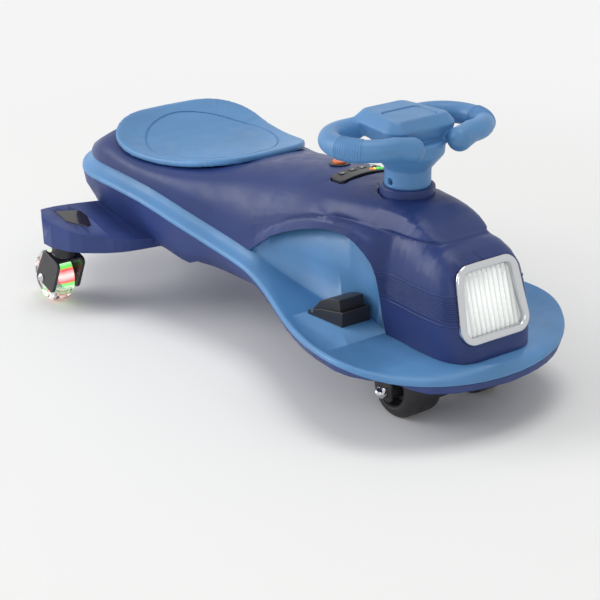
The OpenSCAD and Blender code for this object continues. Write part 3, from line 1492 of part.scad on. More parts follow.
upper_shell();
deck();
lower_shell();
seat();
column_collar();
upper_bush();
lower_bush();
control_panel();
battery_leds();
power_switch();
headlight_bezel();
headlight_lens();
headlight_reflector();
headlight_lamp();
tail_light_left();
tail_light_right();
pedal_housing();
pedal_pin();
pedal_spring();
battery_pack();
controller_box();
speaker();
charge_socket();
caster_bush_left();
caster_bush_right();
steering_wheel();
steering_shaft();
column_screw();
truck_frame();
shaft_nut();
front_axle();
axle_nuts();
gearbox();
drive_motor();
horn_pad();
power_button();
key_1();
key_2();
key_3();
key_4();
accelerator_pedal();
front_tyre_left();
front_hub_left();
front_bush_left();
front_tyre_right();
front_hub_right();
front_bush_right();
caster_fork_left();
caster_stem_left();
caster_axle_left();
caster_fork_right();
caster_stem_right();
caster_axle_right();
rear_tyre_left();
rear_hub_left();
rear_ring_left();
rear_tyre_right();
rear_hub_right();
rear_ring_right();
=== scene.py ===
"""Looks of a ride-on wiggle car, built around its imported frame."""
import json
import math

import bmesh
import bpy
from bpy.props import FloatProperty, FloatVectorProperty, IntProperty, PointerProperty
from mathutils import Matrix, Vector


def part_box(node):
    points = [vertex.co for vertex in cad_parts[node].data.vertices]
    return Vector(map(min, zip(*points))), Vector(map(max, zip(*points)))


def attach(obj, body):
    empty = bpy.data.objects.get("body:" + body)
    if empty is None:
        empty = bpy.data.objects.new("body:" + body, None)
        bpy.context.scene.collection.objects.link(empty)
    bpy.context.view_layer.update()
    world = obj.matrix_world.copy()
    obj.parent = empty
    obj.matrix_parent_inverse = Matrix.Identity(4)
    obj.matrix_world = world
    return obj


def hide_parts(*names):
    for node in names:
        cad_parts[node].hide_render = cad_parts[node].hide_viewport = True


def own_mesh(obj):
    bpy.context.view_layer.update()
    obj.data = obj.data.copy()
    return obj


bl_info = {
    "name": "Wiggle Car",
    "version": (1, 0, 0),
    "blender": (4, 5, 0),
    "location": "View3D > Sidebar > Wiggle Car",
    "description": "Dresses the frame of a ride-on wiggle car",
    "category": "Object",
}

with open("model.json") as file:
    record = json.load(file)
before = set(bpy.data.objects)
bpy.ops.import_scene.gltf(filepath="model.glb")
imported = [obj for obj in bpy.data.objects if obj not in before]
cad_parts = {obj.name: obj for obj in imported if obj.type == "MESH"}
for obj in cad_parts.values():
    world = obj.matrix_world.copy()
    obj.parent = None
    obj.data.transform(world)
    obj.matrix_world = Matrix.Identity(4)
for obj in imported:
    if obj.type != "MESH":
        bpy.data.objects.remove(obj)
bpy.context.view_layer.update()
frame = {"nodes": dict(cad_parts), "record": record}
CAD = frame["nodes"]
BODY_OF = {n: b for b, members in frame["record"]["behaviour"]["bodies"].items() for n in members}
SLOT_OF = {p["node"]: p["material_slot"] for p in frame["record"]["subparts"]}
MM = 0.001
SIDES = ("left", "right")


# Colours and materials

# Spacing of the flow shade, the handling marks and the bubbles, and depth of a tool's grain
FLOW, RUBS, BUBBLES, GRAIN_DEPTH = 70 * MM, 18 * MM, 6 * MM, 0.25 * MM


def hex_linear(code):
    """Linear RGBA of an sRGB hex code."""
    parts = [int(code[i:i + 2], 16) / 255 for i in (1, 3, 5)]
    return [c / 12.92 if c <= 0.04045 else ((c + 0.055) / 1.055) ** 2.4 for c in parts] + [1.0]


def add(tree, kind, inputs=None, **settings):
    """Adds a node, sets its fields, and sets or links its inputs by name or number."""
    made = tree.nodes.new(kind)
    for field, value in settings.items():
        setattr(made, field, value)
    for key, value in (inputs or {}).items():
        if isinstance(value, bpy.types.NodeSocket):
            tree.links.new(value, made.inputs[key])
        else:
            made.inputs[key].default_value = value
    return made


def surface(name, **values):
    """New material with its tree, Principled shader and Object coordinates."""
    made = bpy.data.materials.new(name)
    made.use_nodes = True
    tree = made.node_tree
    shader = tree.nodes["Principled BSDF"]
    for key, value in values.items():
        shader.inputs[key.replace("_", " ")].default_value = value
    place = tree.nodes.new("ShaderNodeTexCoord").outputs["Object"]
    return made, tree, shader, place


def ramp(tree, factor, stops, interpolation="LINEAR"):
    """Colour output of a ramp through the given places and linear colours."""
    made = add(tree, "ShaderNodeValToRGB", {"Fac": factor})
    band = made.color_ramp
    band.interpolation = interpolation
    while len(band.elements) < len(stops):
        band.elements.new(1.0)
    for element, (at, colour) in zip(band.elements, stops):
        element.position, element.color = at, colour
    return made.outputs["Color"]


def shaded(colour, share):
    """A linear colour made lighter or darker by a share."""
    return [min(1.0, c * share) for c in list(colour)[:3]] + [1.0]


def moulded(name, colour, rough, grain_mm, bump, spread=0.07, vary=0.1, **values):
    """Moulded plastic: slight flow shade, a grained tool surface, handling marks in the gloss."""
    made, tree, shader, place = surface(name, **values)
    flow = add(tree, "ShaderNodeTexNoise", {"Vector": place, "Scale": 1 / FLOW, "Detail": 3.0})
    tint = ramp(tree, flow.outputs["Fac"], (
        (0.3, shaded(colour, 1 - vary)), (0.7, shaded(colour, 1 + vary))))
    tree.links.new(tint, shader.inputs["Base Color"])
    rubs = add(tree, "ShaderNodeTexNoise", {"Vector": place, "Scale": 1 / RUBS, "Detail": 5.0})
    level = add(tree, "ShaderNodeMapRange", {
        "Value": rubs.outputs["Fac"], "From Min": 0.3, "From Max": 0.7,
        "To Min": rough - spread, "To Max": rough + spread})
    tree.links.new(level.outputs["Result"], shader.inputs["Roughness"])
    # A real tool's grain is finer than these, and too fine to show in the render
    grain = add(tree, "ShaderNodeTexVoronoi", {"Vector": place, "Scale": 1 / (grain_mm * MM)})
    relief = add(tree, "ShaderNodeBump", {
        "Height": grain.outputs["Distance"], "Strength": bump, "Distance": GRAIN_DEPTH})
    tree.links.new(relief.outputs["Normal"], shader.inputs["Normal"])
    return made


def metal(name, colour, rough, line_mm, **values):
    """Plated or drawn metal, with fine lines in its roughness."""
    made, tree, shader, place = surface(name, Metallic=1.0, **values)
    shader.inputs["Base Color"].default_value = hex_linear(colour)
    stretch = add(tree, "ShaderNodeMapping", {"Vector": place, "Scale": (1.0, 0.1, 1.0)})
    lines = add(tree, "ShaderNodeTexNoise", {
        "Vector": stretch.outputs["Vector"], "Scale": 1 / (line_mm * MM), "Detail": 2.0})
    level = add(tree, "ShaderNodeMapRange", {
        "Value": lines.outputs["Fac"], "To Min": rough * 0.7, "To Max": rough * 1.3})
    tree.links.new(level.outputs["Result"], shader.inputs["Roughness"])
    return made


def wheel_light(name, lamps, shift):
    """Diffuser over a ring of lamps that are red and green by turns, with a pale core at each."""
    made, tree, shader, place = surface(name, Roughness=0.35)
    low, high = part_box("rear_ring_right")
    middle = [(a + b) / 2 for a, b in zip(low, high)]
    centred = add(tree, "ShaderNodeMapping", {"Vector": place, "Location": [-c for c in middle]})
    axes = add(tree, "ShaderNodeSeparateXYZ", {"Vector": centred.outputs["Vector"]})
    angle = add(tree, "ShaderNodeMath", {0: axes.outputs["Z"], 1: axes.outputs["X"]}, operation="ARCTAN2")
    lamp_pairs_per_radian = lamps / (2 * math.tau)
    turn = add(
        tree, "ShaderNodeMath", {0: angle.outputs[0], 1: lamp_pairs_per_radian}, operation="MULTIPLY")
    step = add(tree, "ShaderNodeMath", {0: turn.outputs[0], 1: shift}, operation="ADD")
    share = add(tree, "ShaderNodeMath", {0: step.outputs[0]}, operation="FRACT")
    red, green = hex_linear("#F5384A"), hex_linear("#4FE35A")
    glow = ramp(tree, share.outputs[0], (
        (0.0, red), (0.22, hex_linear("#FFD2D0")), (0.42, red),
        (0.52, green), (0.74, hex_linear("#E2FFD6")), (0.94, green), (1.0, red)))
    tree.links.new(glow, shader.inputs["Base Color"])
    tree.links.new(glow, shader.inputs["Emission Color"])
    shader.inputs["Emission Strength"].default_value = 1.3
    return made


def charge_lights(name):
    """Row of charge lamps: amber at its low end, then yellow and two greens."""
    made, tree, shader, place = surface(name, Roughness=0.25, Emission_Strength=1.2)
    low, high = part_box("battery_leds")
    axes = add(tree, "ShaderNodeSeparateXYZ", {"Vector": place})
    share = add(tree, "ShaderNodeMapRange", {
        "Value": axes.outputs["Y"], "From Min": low[1], "From Max": high[1]})
    glow = ramp(tree, share.outputs["Result"], (
        (0.0, hex_linear("#F2762E")), (0.27, hex_linear("#E6D23C")),
        (0.5, hex_linear("#5BDD4C")), (0.76, hex_linear("#37D24A"))), "CONSTANT")
    tree.links.new(glow, shader.inputs["Base Color"])
    tree.links.new(glow, shader.inputs["Emission Color"])
    return made


def lit_lens(name, flute_mm):
    """Headlight glass lit from behind, brightest in front of the lamp, with painted shade striped into the
    valleys between its ridges.
    """
    made, tree, shader, place = surface(name, Roughness=0.16, Coat_Weight=0.6)
    low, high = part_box("headlight_lens")
    middle = [(a + b) / 2 for a, b in zip(low, high)]
    centred = add(tree, "ShaderNodeMapping", {"Vector": place, "Location": [-c for c in middle]})
    away = add(tree, "ShaderNodeVectorMath", {0: centred.outputs["Vector"]}, operation="LENGTH")
    reach, middle_glow, rim_glow = (high[2] - low[2]) * 0.62, 0.42, 0.24
    fall = add(tree, "ShaderNodeMapRange", {
        "Value": away.outputs["Value"], "From Max": reach, "To Min": middle_glow, "To Max": rim_glow})
    tree.links.new(fall.outputs["Result"], shader.inputs["Emission Strength"])
    axes = add(tree, "ShaderNodeSeparateXYZ", {"Vector": place})
    # Painted shade: colour and glow darken in stripes across the car, grey in the valleys between the ridges
    # and pale on their crests
    radians_per_metre = math.tau / (flute_mm * MM)
    waves = add(tree, "ShaderNodeMath", {0: axes.outputs["Y"], 1: radians_per_metre}, operation="MULTIPLY")
    flute_shade = add(tree, "ShaderNodeMath", {0: waves.outputs[0]}, operation="COSINE")
    share = add(tree, "ShaderNodeMapRange", {"Value": flute_shade.outputs[0], "From Min": -1.0})
    tint = ramp(tree, share.outputs["Result"], (
        (0.0, hex_linear("#CDD2CF")), (0.45, hex_linear("#EEF1EF")), (1.0, hex_linear("#F6F8F7"))))
    tree.links.new(tint, shader.inputs["Base Color"])
    tree.links.new(tint, shader.inputs["Emission Color"])
    return made


def clear_tyre(name):
    """Cast polyurethane: clear, with a faint cloud of fine bubbles in its gloss."""
    made, tree, shader, place = surface(
        name, Transmission_Weight=1.0, IOR=1.5, Base_Color=hex_linear("#F6FAF8"))
    cloud = add(tree, "ShaderNodeTexNoise", {"Vector": place, "Scale": 1 / BUBBLES, "Detail": 3.0})
    level = add(tree, "ShaderNodeMapRange", {"Value": cloud.outputs["Fac"], "To Min": 0.02, "To Max": 0.12})
    tree.links.new(level.outputs["Result"], shader.inputs["Roughness"])
    return made


def make_materials(c):
    """Every finish of the car, by name, from the chosen colours."""
    return {
        # ABS from a satin tool: broad soft highlights over an even, barely seen grain
        "navy": moulded(
            "navy_abs_satin_moulded", c.shell, rough=0.40, grain_mm=0.7, bump=0.06, Specular_IOR_Level=0.36),
        "blue": moulded("blue_abs_satin_moulded", c.trim, rough=0.42, grain_mm=0.7, bump=0.06),
        # ABS from a sparked tool: duller, with a speckle that shows on the wings; its navy is made 1.2 times
        # paler as a painted sheen, for the light that falls on the wings' sides
        "navy_grain_sheen": moulded(
            "navy_abs_sparked_painted_sheen", shaded(c.shell, 1.2), rough=0.50, grain_mm=1.1, bump=0.6, vary=0.14,
            Specular_IOR_Level=0.5),
        # Polypropylene from a sparked tool: wide dull highlights over a coarse grain
        "black": moulded("black_polypropylene_sparked", c.black, rough=0.46, grain_mm=0.9, bump=0.30),
        # Nylon from a polished tool: deep black with clear edge highlights
        "gloss": moulded("black_nylon_polished_tool", c.black, rough=0.30, grain_mm=1.2, bump=0.08),
        # Acetal, turned: grey, dull and faintly waxy
        "grey": moulded("grey_acetal_turned", hex_linear("#84878C"), rough=0.40, grain_mm=0.5, bump=0.15),
        # ABS from a gloss tool: an even colour with a sharp highlight
        "white": moulded(
            "white_abs_gloss_moulded", hex_linear("#E9EBEE"), rough=0.22, grain_mm=0.8, bump=0.04,
            vary=0.03),
        "orange": moulded("orange_abs_gloss_moulded", c.button, rough=0.30, grain_mm=0.8, bump=0.06),
        # Acrylic, smoked and polished: almost black, with clear reflections
        "smoked": moulded(
            "smoked_acrylic_polished", hex_linear("#1B1013"), rough=0.12, grain_mm=1.0, bump=0.03,
            spread=0.03),
        # Polyurethane cast round a core: black, rubbery, with fine scuffs
        "tyre": moulded(
            "black_polyurethane_cast", hex_linear("#242426"), rough=0.50, grain_mm=1.3, bump=0.30,
            spread=0.12),
        # PVC film shrunk round cells: blue, glossy, slightly rippled
        "wrap": moulded("blue_pvc_shrink_film", hex_linear("#2B4C85"), rough=0.28, grain_mm=4.0, bump=0.25),
        # Chrome over ABS: a mirror with the faintest haze
        "chrome": metal("chrome_plated_abs", "#C9CBCE", rough=0.07, line_mm=1.5),
        # Zinc on steel: grey and softly bright, with drawn lines
        "steel": metal("zinc_plated_steel", "#A9ACB0", rough=0.30, line_mm=0.5),
        # Acrylic, moulded with upright ridges: white where the lamp shows through, with painted shade grey
        # in the valleys between them
        "lens": lit_lens("acrylic_lens_lit", flute_mm=6.8),
        # Polyurethane, cast clear: glass-like and faintly cloudy, so that the ring of lamps shows
        "clear": clear_tyre("clear_polyurethane_cast"),
        # Polycarbonate diffuser, moulded: red and green light with a pale core at each lamp
        "wheel_light": wheel_light("polycarbonate_ring_lit", lamps=8, shift=0.12),
        # Epoxy, cast round lamps: small even lights from amber to green
        "charge": charge_lights("epoxy_lamps_lit"),
    }


FINISH = {}


# Mesh tools

# Bends, in degrees, across which pieces are shaded smooth: hard ones, rounded edges, the creased shell,
# the other shells, the fluted lens and soft ones
HARD_BEND, EDGE_BEND, HOOD_BEND, SHELL_BEND, LENS_BEND, SOFT_BEND = 35, 40, 30, 32, 50, 60
# Part of the way to its neighbours' middle that a smoothing pass moves a point
SMOOTH_SHARE = 0.5
# Voxel in mm and smoothing passes of each softened piece, by the start of its name
SOFTNESS = {
    "seat": (1.6, 10), "steering_wheel": (1.2, 2), "horn_pad": (0.7, 3), "control_panel": (0.5, 2),
    "power_button": (0.4, 4), "power_switch": (0.5, 2), "key": (0.3, 3), "accelerator_pedal": (0.6, 3),
    "pedal_housing": (0.6, 3), "tail_light": (0.6, 4), "caster_fork": (0.9, 5), "rear_tyre": (0.8, 5),
    "truck_frame": (0.9, 3), "front_tyre": (0.9, 4),
}


def alone(obj):
    """Selects one object and makes it active."""
    bpy.ops.object.select_all(action="DESELECT")
    obj.select_set(True)
    bpy.context.view_layer.objects.active = obj
    return obj


def edit(obj):
    """Opens one object for editing with all of it selected."""
    alone(obj)
    bpy.ops.object.mode_set(mode="EDIT")
    bpy.ops.mesh.select_all(action="SELECT")


def close():
    """Ends the editing of a piece."""
    bpy.ops.object.mode_set(mode="OBJECT")


def copy_of(node, merge_mm=0.004):
    """Merged copy of a frame node's mesh, as a new piece."""
    made = bpy.data.objects.new(node + "_dressed", CAD[node].data.copy())
    bpy.context.scene.collection.objects.link(made)
    made.data.materials.clear()
    edit(made)
    bpy.ops.mesh.remove_doubles(threshold=merge_mm * MM)
    close()
    return made


def modify(obj, kind, **settings):
    """Adds a modifier and applies it."""
    alone(obj)
    made = obj.modifiers.new(kind.lower(), kind)
    for field, value in settings.items():
        setattr(made, field, value)
    bpy.ops.object.modifier_apply(modifier=made.name)
    return obj


def smooth(obj, degrees=HARD_BEND):
    """Shades a piece smooth across edges that bend less than this."""
    alone(obj)
    bpy.ops.object.shade_smooth_by_angle(angle=math.radians(degrees))
    return obj


def edged(obj, width, steps=3, flat=0.5):
    """Rounds the sharp edges of a flat-sided piece, whose faces bend by flat degrees at most."""
    edit(obj)
    bpy.ops.mesh.dissolve_limited(angle_limit=math.radians(flat))
    close()
    modify(obj, "BEVEL", width=width, segments=steps, limit_method="ANGLE",
           angle_limit=math.radians(HARD_BEND), miter_outer="MITER_ARC", use_clamp_overlap=True)
    return smooth(obj, EDGE_BEND)


def softened(node):
    """Copy of a frame node with its corners and joints melted into the small fillets of a moulding."""
    voxel_mm, passes = next(how for start, how in SOFTNESS.items() if node.startswith(start))
    made = copy_of(node)
    modify(made, "REMESH", mode="VOXEL", voxel_size=voxel_mm * MM)
    modify(made, "SMOOTH", factor=SMOOTH_SHARE, iterations=passes)
    return smooth(made, SOFT_BEND)


def rounded_off(obj, passes, kept):
    """Rounds a softened piece further, except at the places that kept names."""
    group = obj.vertex_groups.new(name="soft")
    group.add([v.index for v in obj.data.vertices if not kept(v.co)], 1.0, "REPLACE")
    modify(obj, "SMOOTH", factor=SMOOTH_SHARE, iterations=passes, vertex_group="soft")
    obj.vertex_groups.clear()
    return smooth(obj, SOFT_BEND)


def evened(obj, middle, spread, steps=360, rim_share=0.85):
    """Evens out the corners in a piece's outline as seen from above, most at its rim."""
    reach, crest = [0.0] * steps, [-1.0] * steps
    polar = []
    for v in obj.data.vertices:
        x, y = v.co.x - middle, v.co.y
        at = (math.atan2(y, x) % math.tau) / math.tau * steps
        polar.append((v, at, math.hypot(x, y)))
        reach[int(at) % steps] = max(reach[int(at) % steps], polar[-1][2])
    for v, at, r in polar:
        if r > rim_share * reach[int(at) % steps]:
            crest[int(at) % steps] = max(crest[int(at) % steps], v.co.z)
    span = range(-spread, spread + 1)
    weights = [math.cos(math.pi / 2 * k / (spread + 1)) ** 2 for k in span]

    def evenly(values):
        return [
            sum(w * values[(k + j) % steps] for j, w in zip(span, weights)) / sum(weights)
            for k in range(steps)]

    def between(values, at):
        low = math.floor(at - 0.5)
        part = at - 0.5 - low
        return values[low % steps] * (1 - part) + values[(low + 1) % steps] * part

    even_reach, even_crest = evenly(reach), evenly(crest)
    for v, at, r in polar:
        old = between(reach, at)
        share = min(1.0, r / old) ** 3
        grow = 1 + (between(even_reach, at) / old - 1) * share
        v.co.x = middle + (v.co.x - middle) * grow
        v.co.y *= grow
        v.co.z += (between(even_crest, at) - between(crest, at)) * share
    return obj


def raised_foot(obj, room):
    """Shortens a pressed piece from below, so that it stays clear of the softened floor under it."""
    heights = [v.co.z for v in obj.data.vertices]
    middle = (min(heights) + max(heights)) / 2
    for v in obj.data.vertices:
        if v.co.z < middle:
            v.co.z += room
    return obj


def joined(pieces, name):
    """Joins pieces into one object."""
    alone(pieces[0])
    for piece in pieces[1:]:
        piece.select_set(True)
    if len(pieces) > 1:
        bpy.ops.object.join()
    pieces[0].name = name
    return pieces[0]


def dress(obj, material, body, slot, *nodes):
    """Gives a piece its material and body, and hides the frame nodes that it stands for; its slot is not
    used.
    """
    obj.data.materials.clear()
    obj.data.materials.append(material)
    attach(obj, body)
    if nodes:
        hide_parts(*nodes)
    return obj


def stand_in(obj, finish, node):
    """Dresses a piece that stands for one frame node."""
    return dress(obj, FINISH[finish], BODY_OF[node], SLOT_OF[node], node)


def paint(node, material):
    """Gives a frame node that is shown as it is its material."""
    CAD[node].data.materials.clear()
    CAD[node].data.materials.append(material)


# Settings

class WiggleStage(bpy.types.PropertyGroup):
    lens: FloatProperty(
        name="Lens", description="Focal length of the camera", default=108, unit="CAMERA")
    azimuth: FloatProperty(
        name="Azimuth", description="Turn of the camera from the right side to the front",
        default=math.radians(52.5), subtype="ANGLE")
    elevation: FloatProperty(
        name="Elevation", description="Height angle of the camera", default=math.radians(22),
        subtype="ANGLE")
    distance: FloatProperty(
        name="Distance", description="From the camera to its target", default=2.2, unit="LENGTH")
    target: FloatVectorProperty(
        name="Target", description="Point that the camera looks at", default=(0.0055, 0, 0.0365),
        subtype="TRANSLATION")
    floor: FloatVectorProperty(
        name="Floor", description="Colour of the floor", default=hex_linear("#FAFAF9")[:3],
        subtype="COLOR")


class WiggleColours(bpy.types.PropertyGroup):
    shell: FloatVectorProperty(
        name="Shell", description="Upper and lower shell", default=hex_linear("#25376E")[:3],
        subtype="COLOR")
    trim: FloatVectorProperty(
        name="Trim", description="Deck, seat and steering wheel", default=hex_linear("#568BBE")[:3],
        subtype="COLOR")
    black: FloatVectorProperty(
        name="Black parts", description="Pedal, forks, panel and truck", default=hex_linear("#26262A")[:3],
        subtype="COLOR")
    button: FloatVectorProperty(
        name="Button", description="Power button", default=hex_linear("#E8743B")[:3], subtype="COLOR")


class WiggleSizes(bpy.types.PropertyGroup):
    bezel_edge: FloatProperty(
        name="Bezel edge", description="Rounding of the headlight bezel", default=4.2 * MM, unit="LENGTH")
    ribs: IntProperty(
        name="Nose ribs", description="Ribs in the band on each side", default=10, min=1, max=20)
    rib_foot: FloatProperty(
        name="Rib foot", description="Height of the lowest nose rib", default=130 * MM, unit="LENGTH")
    rib_pitch: FloatProperty(
        name="Rib pitch", description="Between two nose ribs", default=2.4 * MM, unit="LENGTH")
    rib_r: FloatProperty(
        name="Rib radius", description="Half the width of a nose rib", default=0.9 * MM, unit="LENGTH")
    crease: FloatProperty(
        name="Crease", description="Swelling at the foot of the hood", default=3.5 * MM, unit="LENGTH")
    crease_fade: FloatProperty(
        name="Crease fade", description="Height over which the swelling dies out", default=28 * MM,
        unit="LENGTH")
    grip_rib: FloatProperty(
        name="Grip rib", description="Half the width of a rib on the hand loops", default=0.7 * MM,
        unit="LENGTH")
    groove_r: FloatProperty(
        name="Seat groove", description="Half the width of the seat's groove", default=1.5 * MM,
        unit="LENGTH")
    groove_in: FloatProperty(
        name="Groove inset", description="From the seat's edge to its groove", default=24 * MM,
        unit="LENGTH")


# Stage

# Width of the floor, where its look turns into that of a backdrop, and how far the camera sees, in metres
FLOOR_SIZE, BACKDROP_FROM, BACKDROP_TO, FAR_END = 40, 0.55, 1.3, 80
# Width of the camera's sensor, in mm
SENSOR = 36
# Light of the studio on the car, and its brightness where it is seen
STUDIO_LIGHT, STUDIO_SEEN = 0.44, 0.92
# Softboxes: name, place and width in metres, power in watts
SOFTBOXES = (
    ("key_softbox", (0.1, 0.5, 5.0), 2.4, 70),
    ("side_softbox", (-3.0, -3.8, 2.2), 3.4, 150),
    ("front_softbox", (4.6, -2.6, 3.0), 3.0, 40),
)


def seen_directly(tree):
    """1 for what the camera sees, also in metal and through glass, and 0 for light on the car."""
    paths = tree.nodes.new("ShaderNodeLightPath")
    seen = paths.outputs["Is Camera Ray"]
    for kind in ("Is Glossy Ray", "Is Transmission Ray"):
        either = add(tree, "ShaderNodeMath", {0: seen, 1: paths.outputs[kind]}, operation="MAXIMUM")
        seen = either.outputs[0]
    return seen


class WIGGLE_OT_stage(bpy.types.Operator):
    """Floor, lights and camera"""
    bl_idname = "wiggle.stage"
    bl_label = "Stage"

    def execute(self, context):
        s = context.scene.wiggle_stage
        bpy.ops.object.select_all(action="DESELECT")
        bpy.ops.mesh.primitive_plane_add(size=FLOOR_SIZE)
        floor = context.active_object
        floor.name = "floor"
        made, tree, shader, place = surface("pale_paper_floor", Roughness=0.9)
        shader.inputs["Specular IOR Level"].default_value = 0.0
        shader.inputs["Base Color"].default_value = [*s.floor, 1]
        # Away from the car the paper is seen at an even pale tone, as a backdrop is
        far = add(tree, "ShaderNodeVectorMath", {0: place}, operation="LENGTH")
        share = add(tree, "ShaderNodeMapRange", {
            "Value": far.outputs["Value"], "From Min": BACKDROP_FROM, "From Max": BACKDROP_TO},
            interpolation_type="SMOOTHSTEP")
        seen = seen_directly(tree)
        shown = add(tree, "ShaderNodeMath", {0: share.outputs["Result"], 1: seen}, operation="MULTIPLY")
        even = add(tree, "ShaderNodeEmission", {"Color": hex_linear("#F5F5F5"), "Strength": 1.0})
        both = add(tree, "ShaderNodeMixShader", {
            0: shown.outputs[0], 1: shader.outputs["BSDF"], 2: even.outputs["Emission"]})
        tree.links.new(both.outputs["Shader"], tree.nodes["Material Output"].inputs["Surface"])
        floor.data.materials.append(made)
        target = Vector(s.target)
        away = Vector((
            math.sin(s.azimuth) * math.cos(s.elevation),
            -math.cos(s.azimuth) * math.cos(s.elevation),
            math.sin(s.elevation),
        ))
        bpy.ops.object.camera_add(location=target + away * s.distance)
        camera = context.active_object
        camera.rotation_euler = away.to_track_quat("Z", "Y").to_euler()
        camera.data.lens = s.lens
        camera.data.sensor_width = SENSOR
        camera.data.clip_end = FAR_END
        context.scene.camera = camera
        for name, place, size, power in SOFTBOXES:
            bpy.ops.object.light_add(type="AREA", location=place)
            lamp = context.active_object
            lamp.name = name
            lamp.data.size = size
            lamp.data.energy = power
            lamp.rotation_euler = (Vector(place) - target).to_track_quat("Z", "Y").to_euler()
        world = bpy.data.worlds.new("studio")
        world.use_nodes = True
        tree = world.node_tree
        level = add(tree, "ShaderNodeMapRange", {
            "Value": seen_directly(tree), "To Min": STUDIO_LIGHT, "To Max": STUDIO_SEEN})
        studio = tree.nodes["Background"]
        studio.inputs["Color"].default_value = (1, 1, 1, 1)
        tree.links.new(level.outputs["Result"], studio.inputs["Strength"])
        context.scene.world = world
        context.scene.view_settings.view_transform = "Standard"
        return {"FINISHED"}


# Body

# Foot of the hood and of the saddle over the arch: along the car and up, in mm
CREASE = ((28, 150), (60, 168), (93, 184), (137, 197.5), (160, 200.5), (312, 200.5))
# Points on each side, and their spacing in mm, over which the crease is averaged to round its corners
CREASE_POINTS, CREASE_SPACING = 6, 3
# Cuts there, in mm: how near to the crease, width of the strips across it, and heights above it along it
CUT_NEAR, CUT_STRIP = 40, 5
CUT_RISES = (-1, 0.3, 1.6, 3, 4.5, 7, 10, 14, 18, 23, 28, 33, 38)
# Distance within which a point counts as lying on a cut, and two points as one, in mm
CUT_SLACK = 0.01
# Fold, in mm: where it starts and how far it grows along the car, its foot, rise and crown over the crease
FOLD_START, FOLD_GROWTH, FOLD_FOOT, FOLD_RISE, FOLD_CROWN = 40, 150, -1, 4, 4.5
# Front corners of the hood: where they start, and how fast the swelling turns forwards there, in metres
CORNER_X, CORNER_TURN_X, CORNER_TURN_Y = 0.262, 0.04, 0.045
# Where the saddle runs into the hood: along the car and above the crease, in mm, and smoothing passes
BLEND_X, BLEND_RISE, BLEND_PASSES = (85, 205), (1, 38), 14
# Line that the outside of the shell faces away from: its front end and its height, in metres
CORE_X, CORE_Z = 0.25, 0.16


def crease_height(x):
    """Height of the crease at a place along the car."""
    for (x0, z0), (x1, z1) in zip(CREASE, CREASE[1:]):
        if x <= x1 * MM:
            break
    return (z0 + (z1 - z0) * (x / MM - x0) / (x1 - x0)) * MM


def eased_crease(x):
    """Height of the crease with its corners rounded off."""
    around = [x + k * CREASE_SPACING * MM for k in range(-CREASE_POINTS, CREASE_POINTS + 1)]
    return sum(crease_height(min(a, CREASE[-1][0] * MM)) for a in around) / len(around)


def eased(share):
    """Share that starts and ends gently."""
    return share * share * (3 - 2 * share)


def outside(place, normal):
    """True where a shell's surface faces away from the middle of the car."""
    return normal.dot(Vector((max(0.0, place.x - CORE_X), place.y, place.z - CORE_Z))) > 0


def near_crease(face):
    """True for an outer face of the upper shell close to the crease."""
    mid = face.calc_center_median()
    return abs(mid.z - crease_height(mid.x)) < CUT_NEAR * MM and outside(mid, face.normal)


def with_rims(faces):
    """Faces with their edges and corners."""
    return list({part for f in faces for part in (f, *f.edges, *f.verts)})


def cut_along_crease(mesh):
    """Cuts the shell near the crease into a fine, even net."""
    start, stop = CREASE[0][0], CREASE[-1][0]
    geom = with_rims([f for f in mesh.faces if near_crease(f)])
    ends = [*range(start, stop, CUT_STRIP), stop]
    for x in ends:
        cut = bmesh.ops.bisect_plane(
            mesh, geom=geom, dist=CUT_SLACK * MM, plane_co=(x * MM, 0, 0), plane_no=(1, 0, 0))
        geom = cut["geom"]
    mesh.normal_update()
    strips = {}
    for face in mesh.faces:
        x = face.calc_center_median().x
        if start * MM < x < stop * MM and near_crease(face):
            strips.setdefault(int((x / MM - start) // CUT_STRIP), []).append(face)
    for k, faces in strips.items():
        x0, x1 = ends[k] * MM, ends[k + 1] * MM
        z0, z1 = eased_crease(x0), eased_crease(x1)
        geom = with_rims(faces)
        for rise in CUT_RISES:
            cut = bmesh.ops.bisect_plane(
                mesh, geom=geom, dist=CUT_SLACK * MM, plane_co=(x0, 0, z0 + rise * MM),
                plane_no=Vector((z0 - z1, 0, x1 - x0)).normalized())
            geom = cut["geom"]
    bmesh.ops.triangulate(mesh, faces=mesh.faces[:])
    mesh.normal_update()


def creased(skin, step, fade):
    """Swells the upper shell above the crease, so that the hood ends there in a soft fold."""
    mesh = bmesh.new()
    mesh.from_mesh(skin.data)
    mesh.normal_update()
    cut_along_crease(mesh)
    start, stop = CREASE[0][0] * MM, CREASE[-1][0] * MM
    moves = []
    for v in mesh.verts:
        rise = v.co.z - eased_crease(v.co.x)
        if FOLD_FOOT * MM < rise < fade and start < v.co.x < stop and outside(v.co, v.normal):
            grown = min(1.0, max(0.0, (v.co.x / MM - FOLD_START) / FOLD_GROWTH))
            up = min(1.0, (rise / MM - FOLD_FOOT) / FOLD_RISE)
            fall = 1 - max(0.0, rise - FOLD_CROWN * MM) / (fade - FOLD_CROWN * MM)
            # Sideways along the saddle, turning forwards round the hood's front corners
            forwards = max(0.0, v.co.x - CORNER_X) / CORNER_TURN_X
            away = Vector((forwards, v.co.y / CORNER_TURN_Y, 0)).normalized()
            moves.append((v, away * step * eased(grown) * (eased(up) * eased(fall))))
    for v, move in moves:
        v.co += move
    mesh.to_mesh(skin.data)
    mesh.free()
    # The saddle runs into the hood here, so its dents are smoothed out
    group = skin.vertex_groups.new(name="blend")
    (rear, front), (low, high) = BLEND_X, BLEND_RISE
    for v in skin.data.vertices:
        rise = v.co.z - eased_crease(v.co.x)
        if low * MM < rise < high * MM and rear * MM < v.co.x < front * MM and outside(v.co, v.normal):
            group.add([v.index], 1.0, "REPLACE")
    modify(skin, "SMOOTH", factor=SMOOTH_SHARE, iterations=BLEND_PASSES, vertex_group="blend")
    skin.vertex_groups.clear()
    return skin


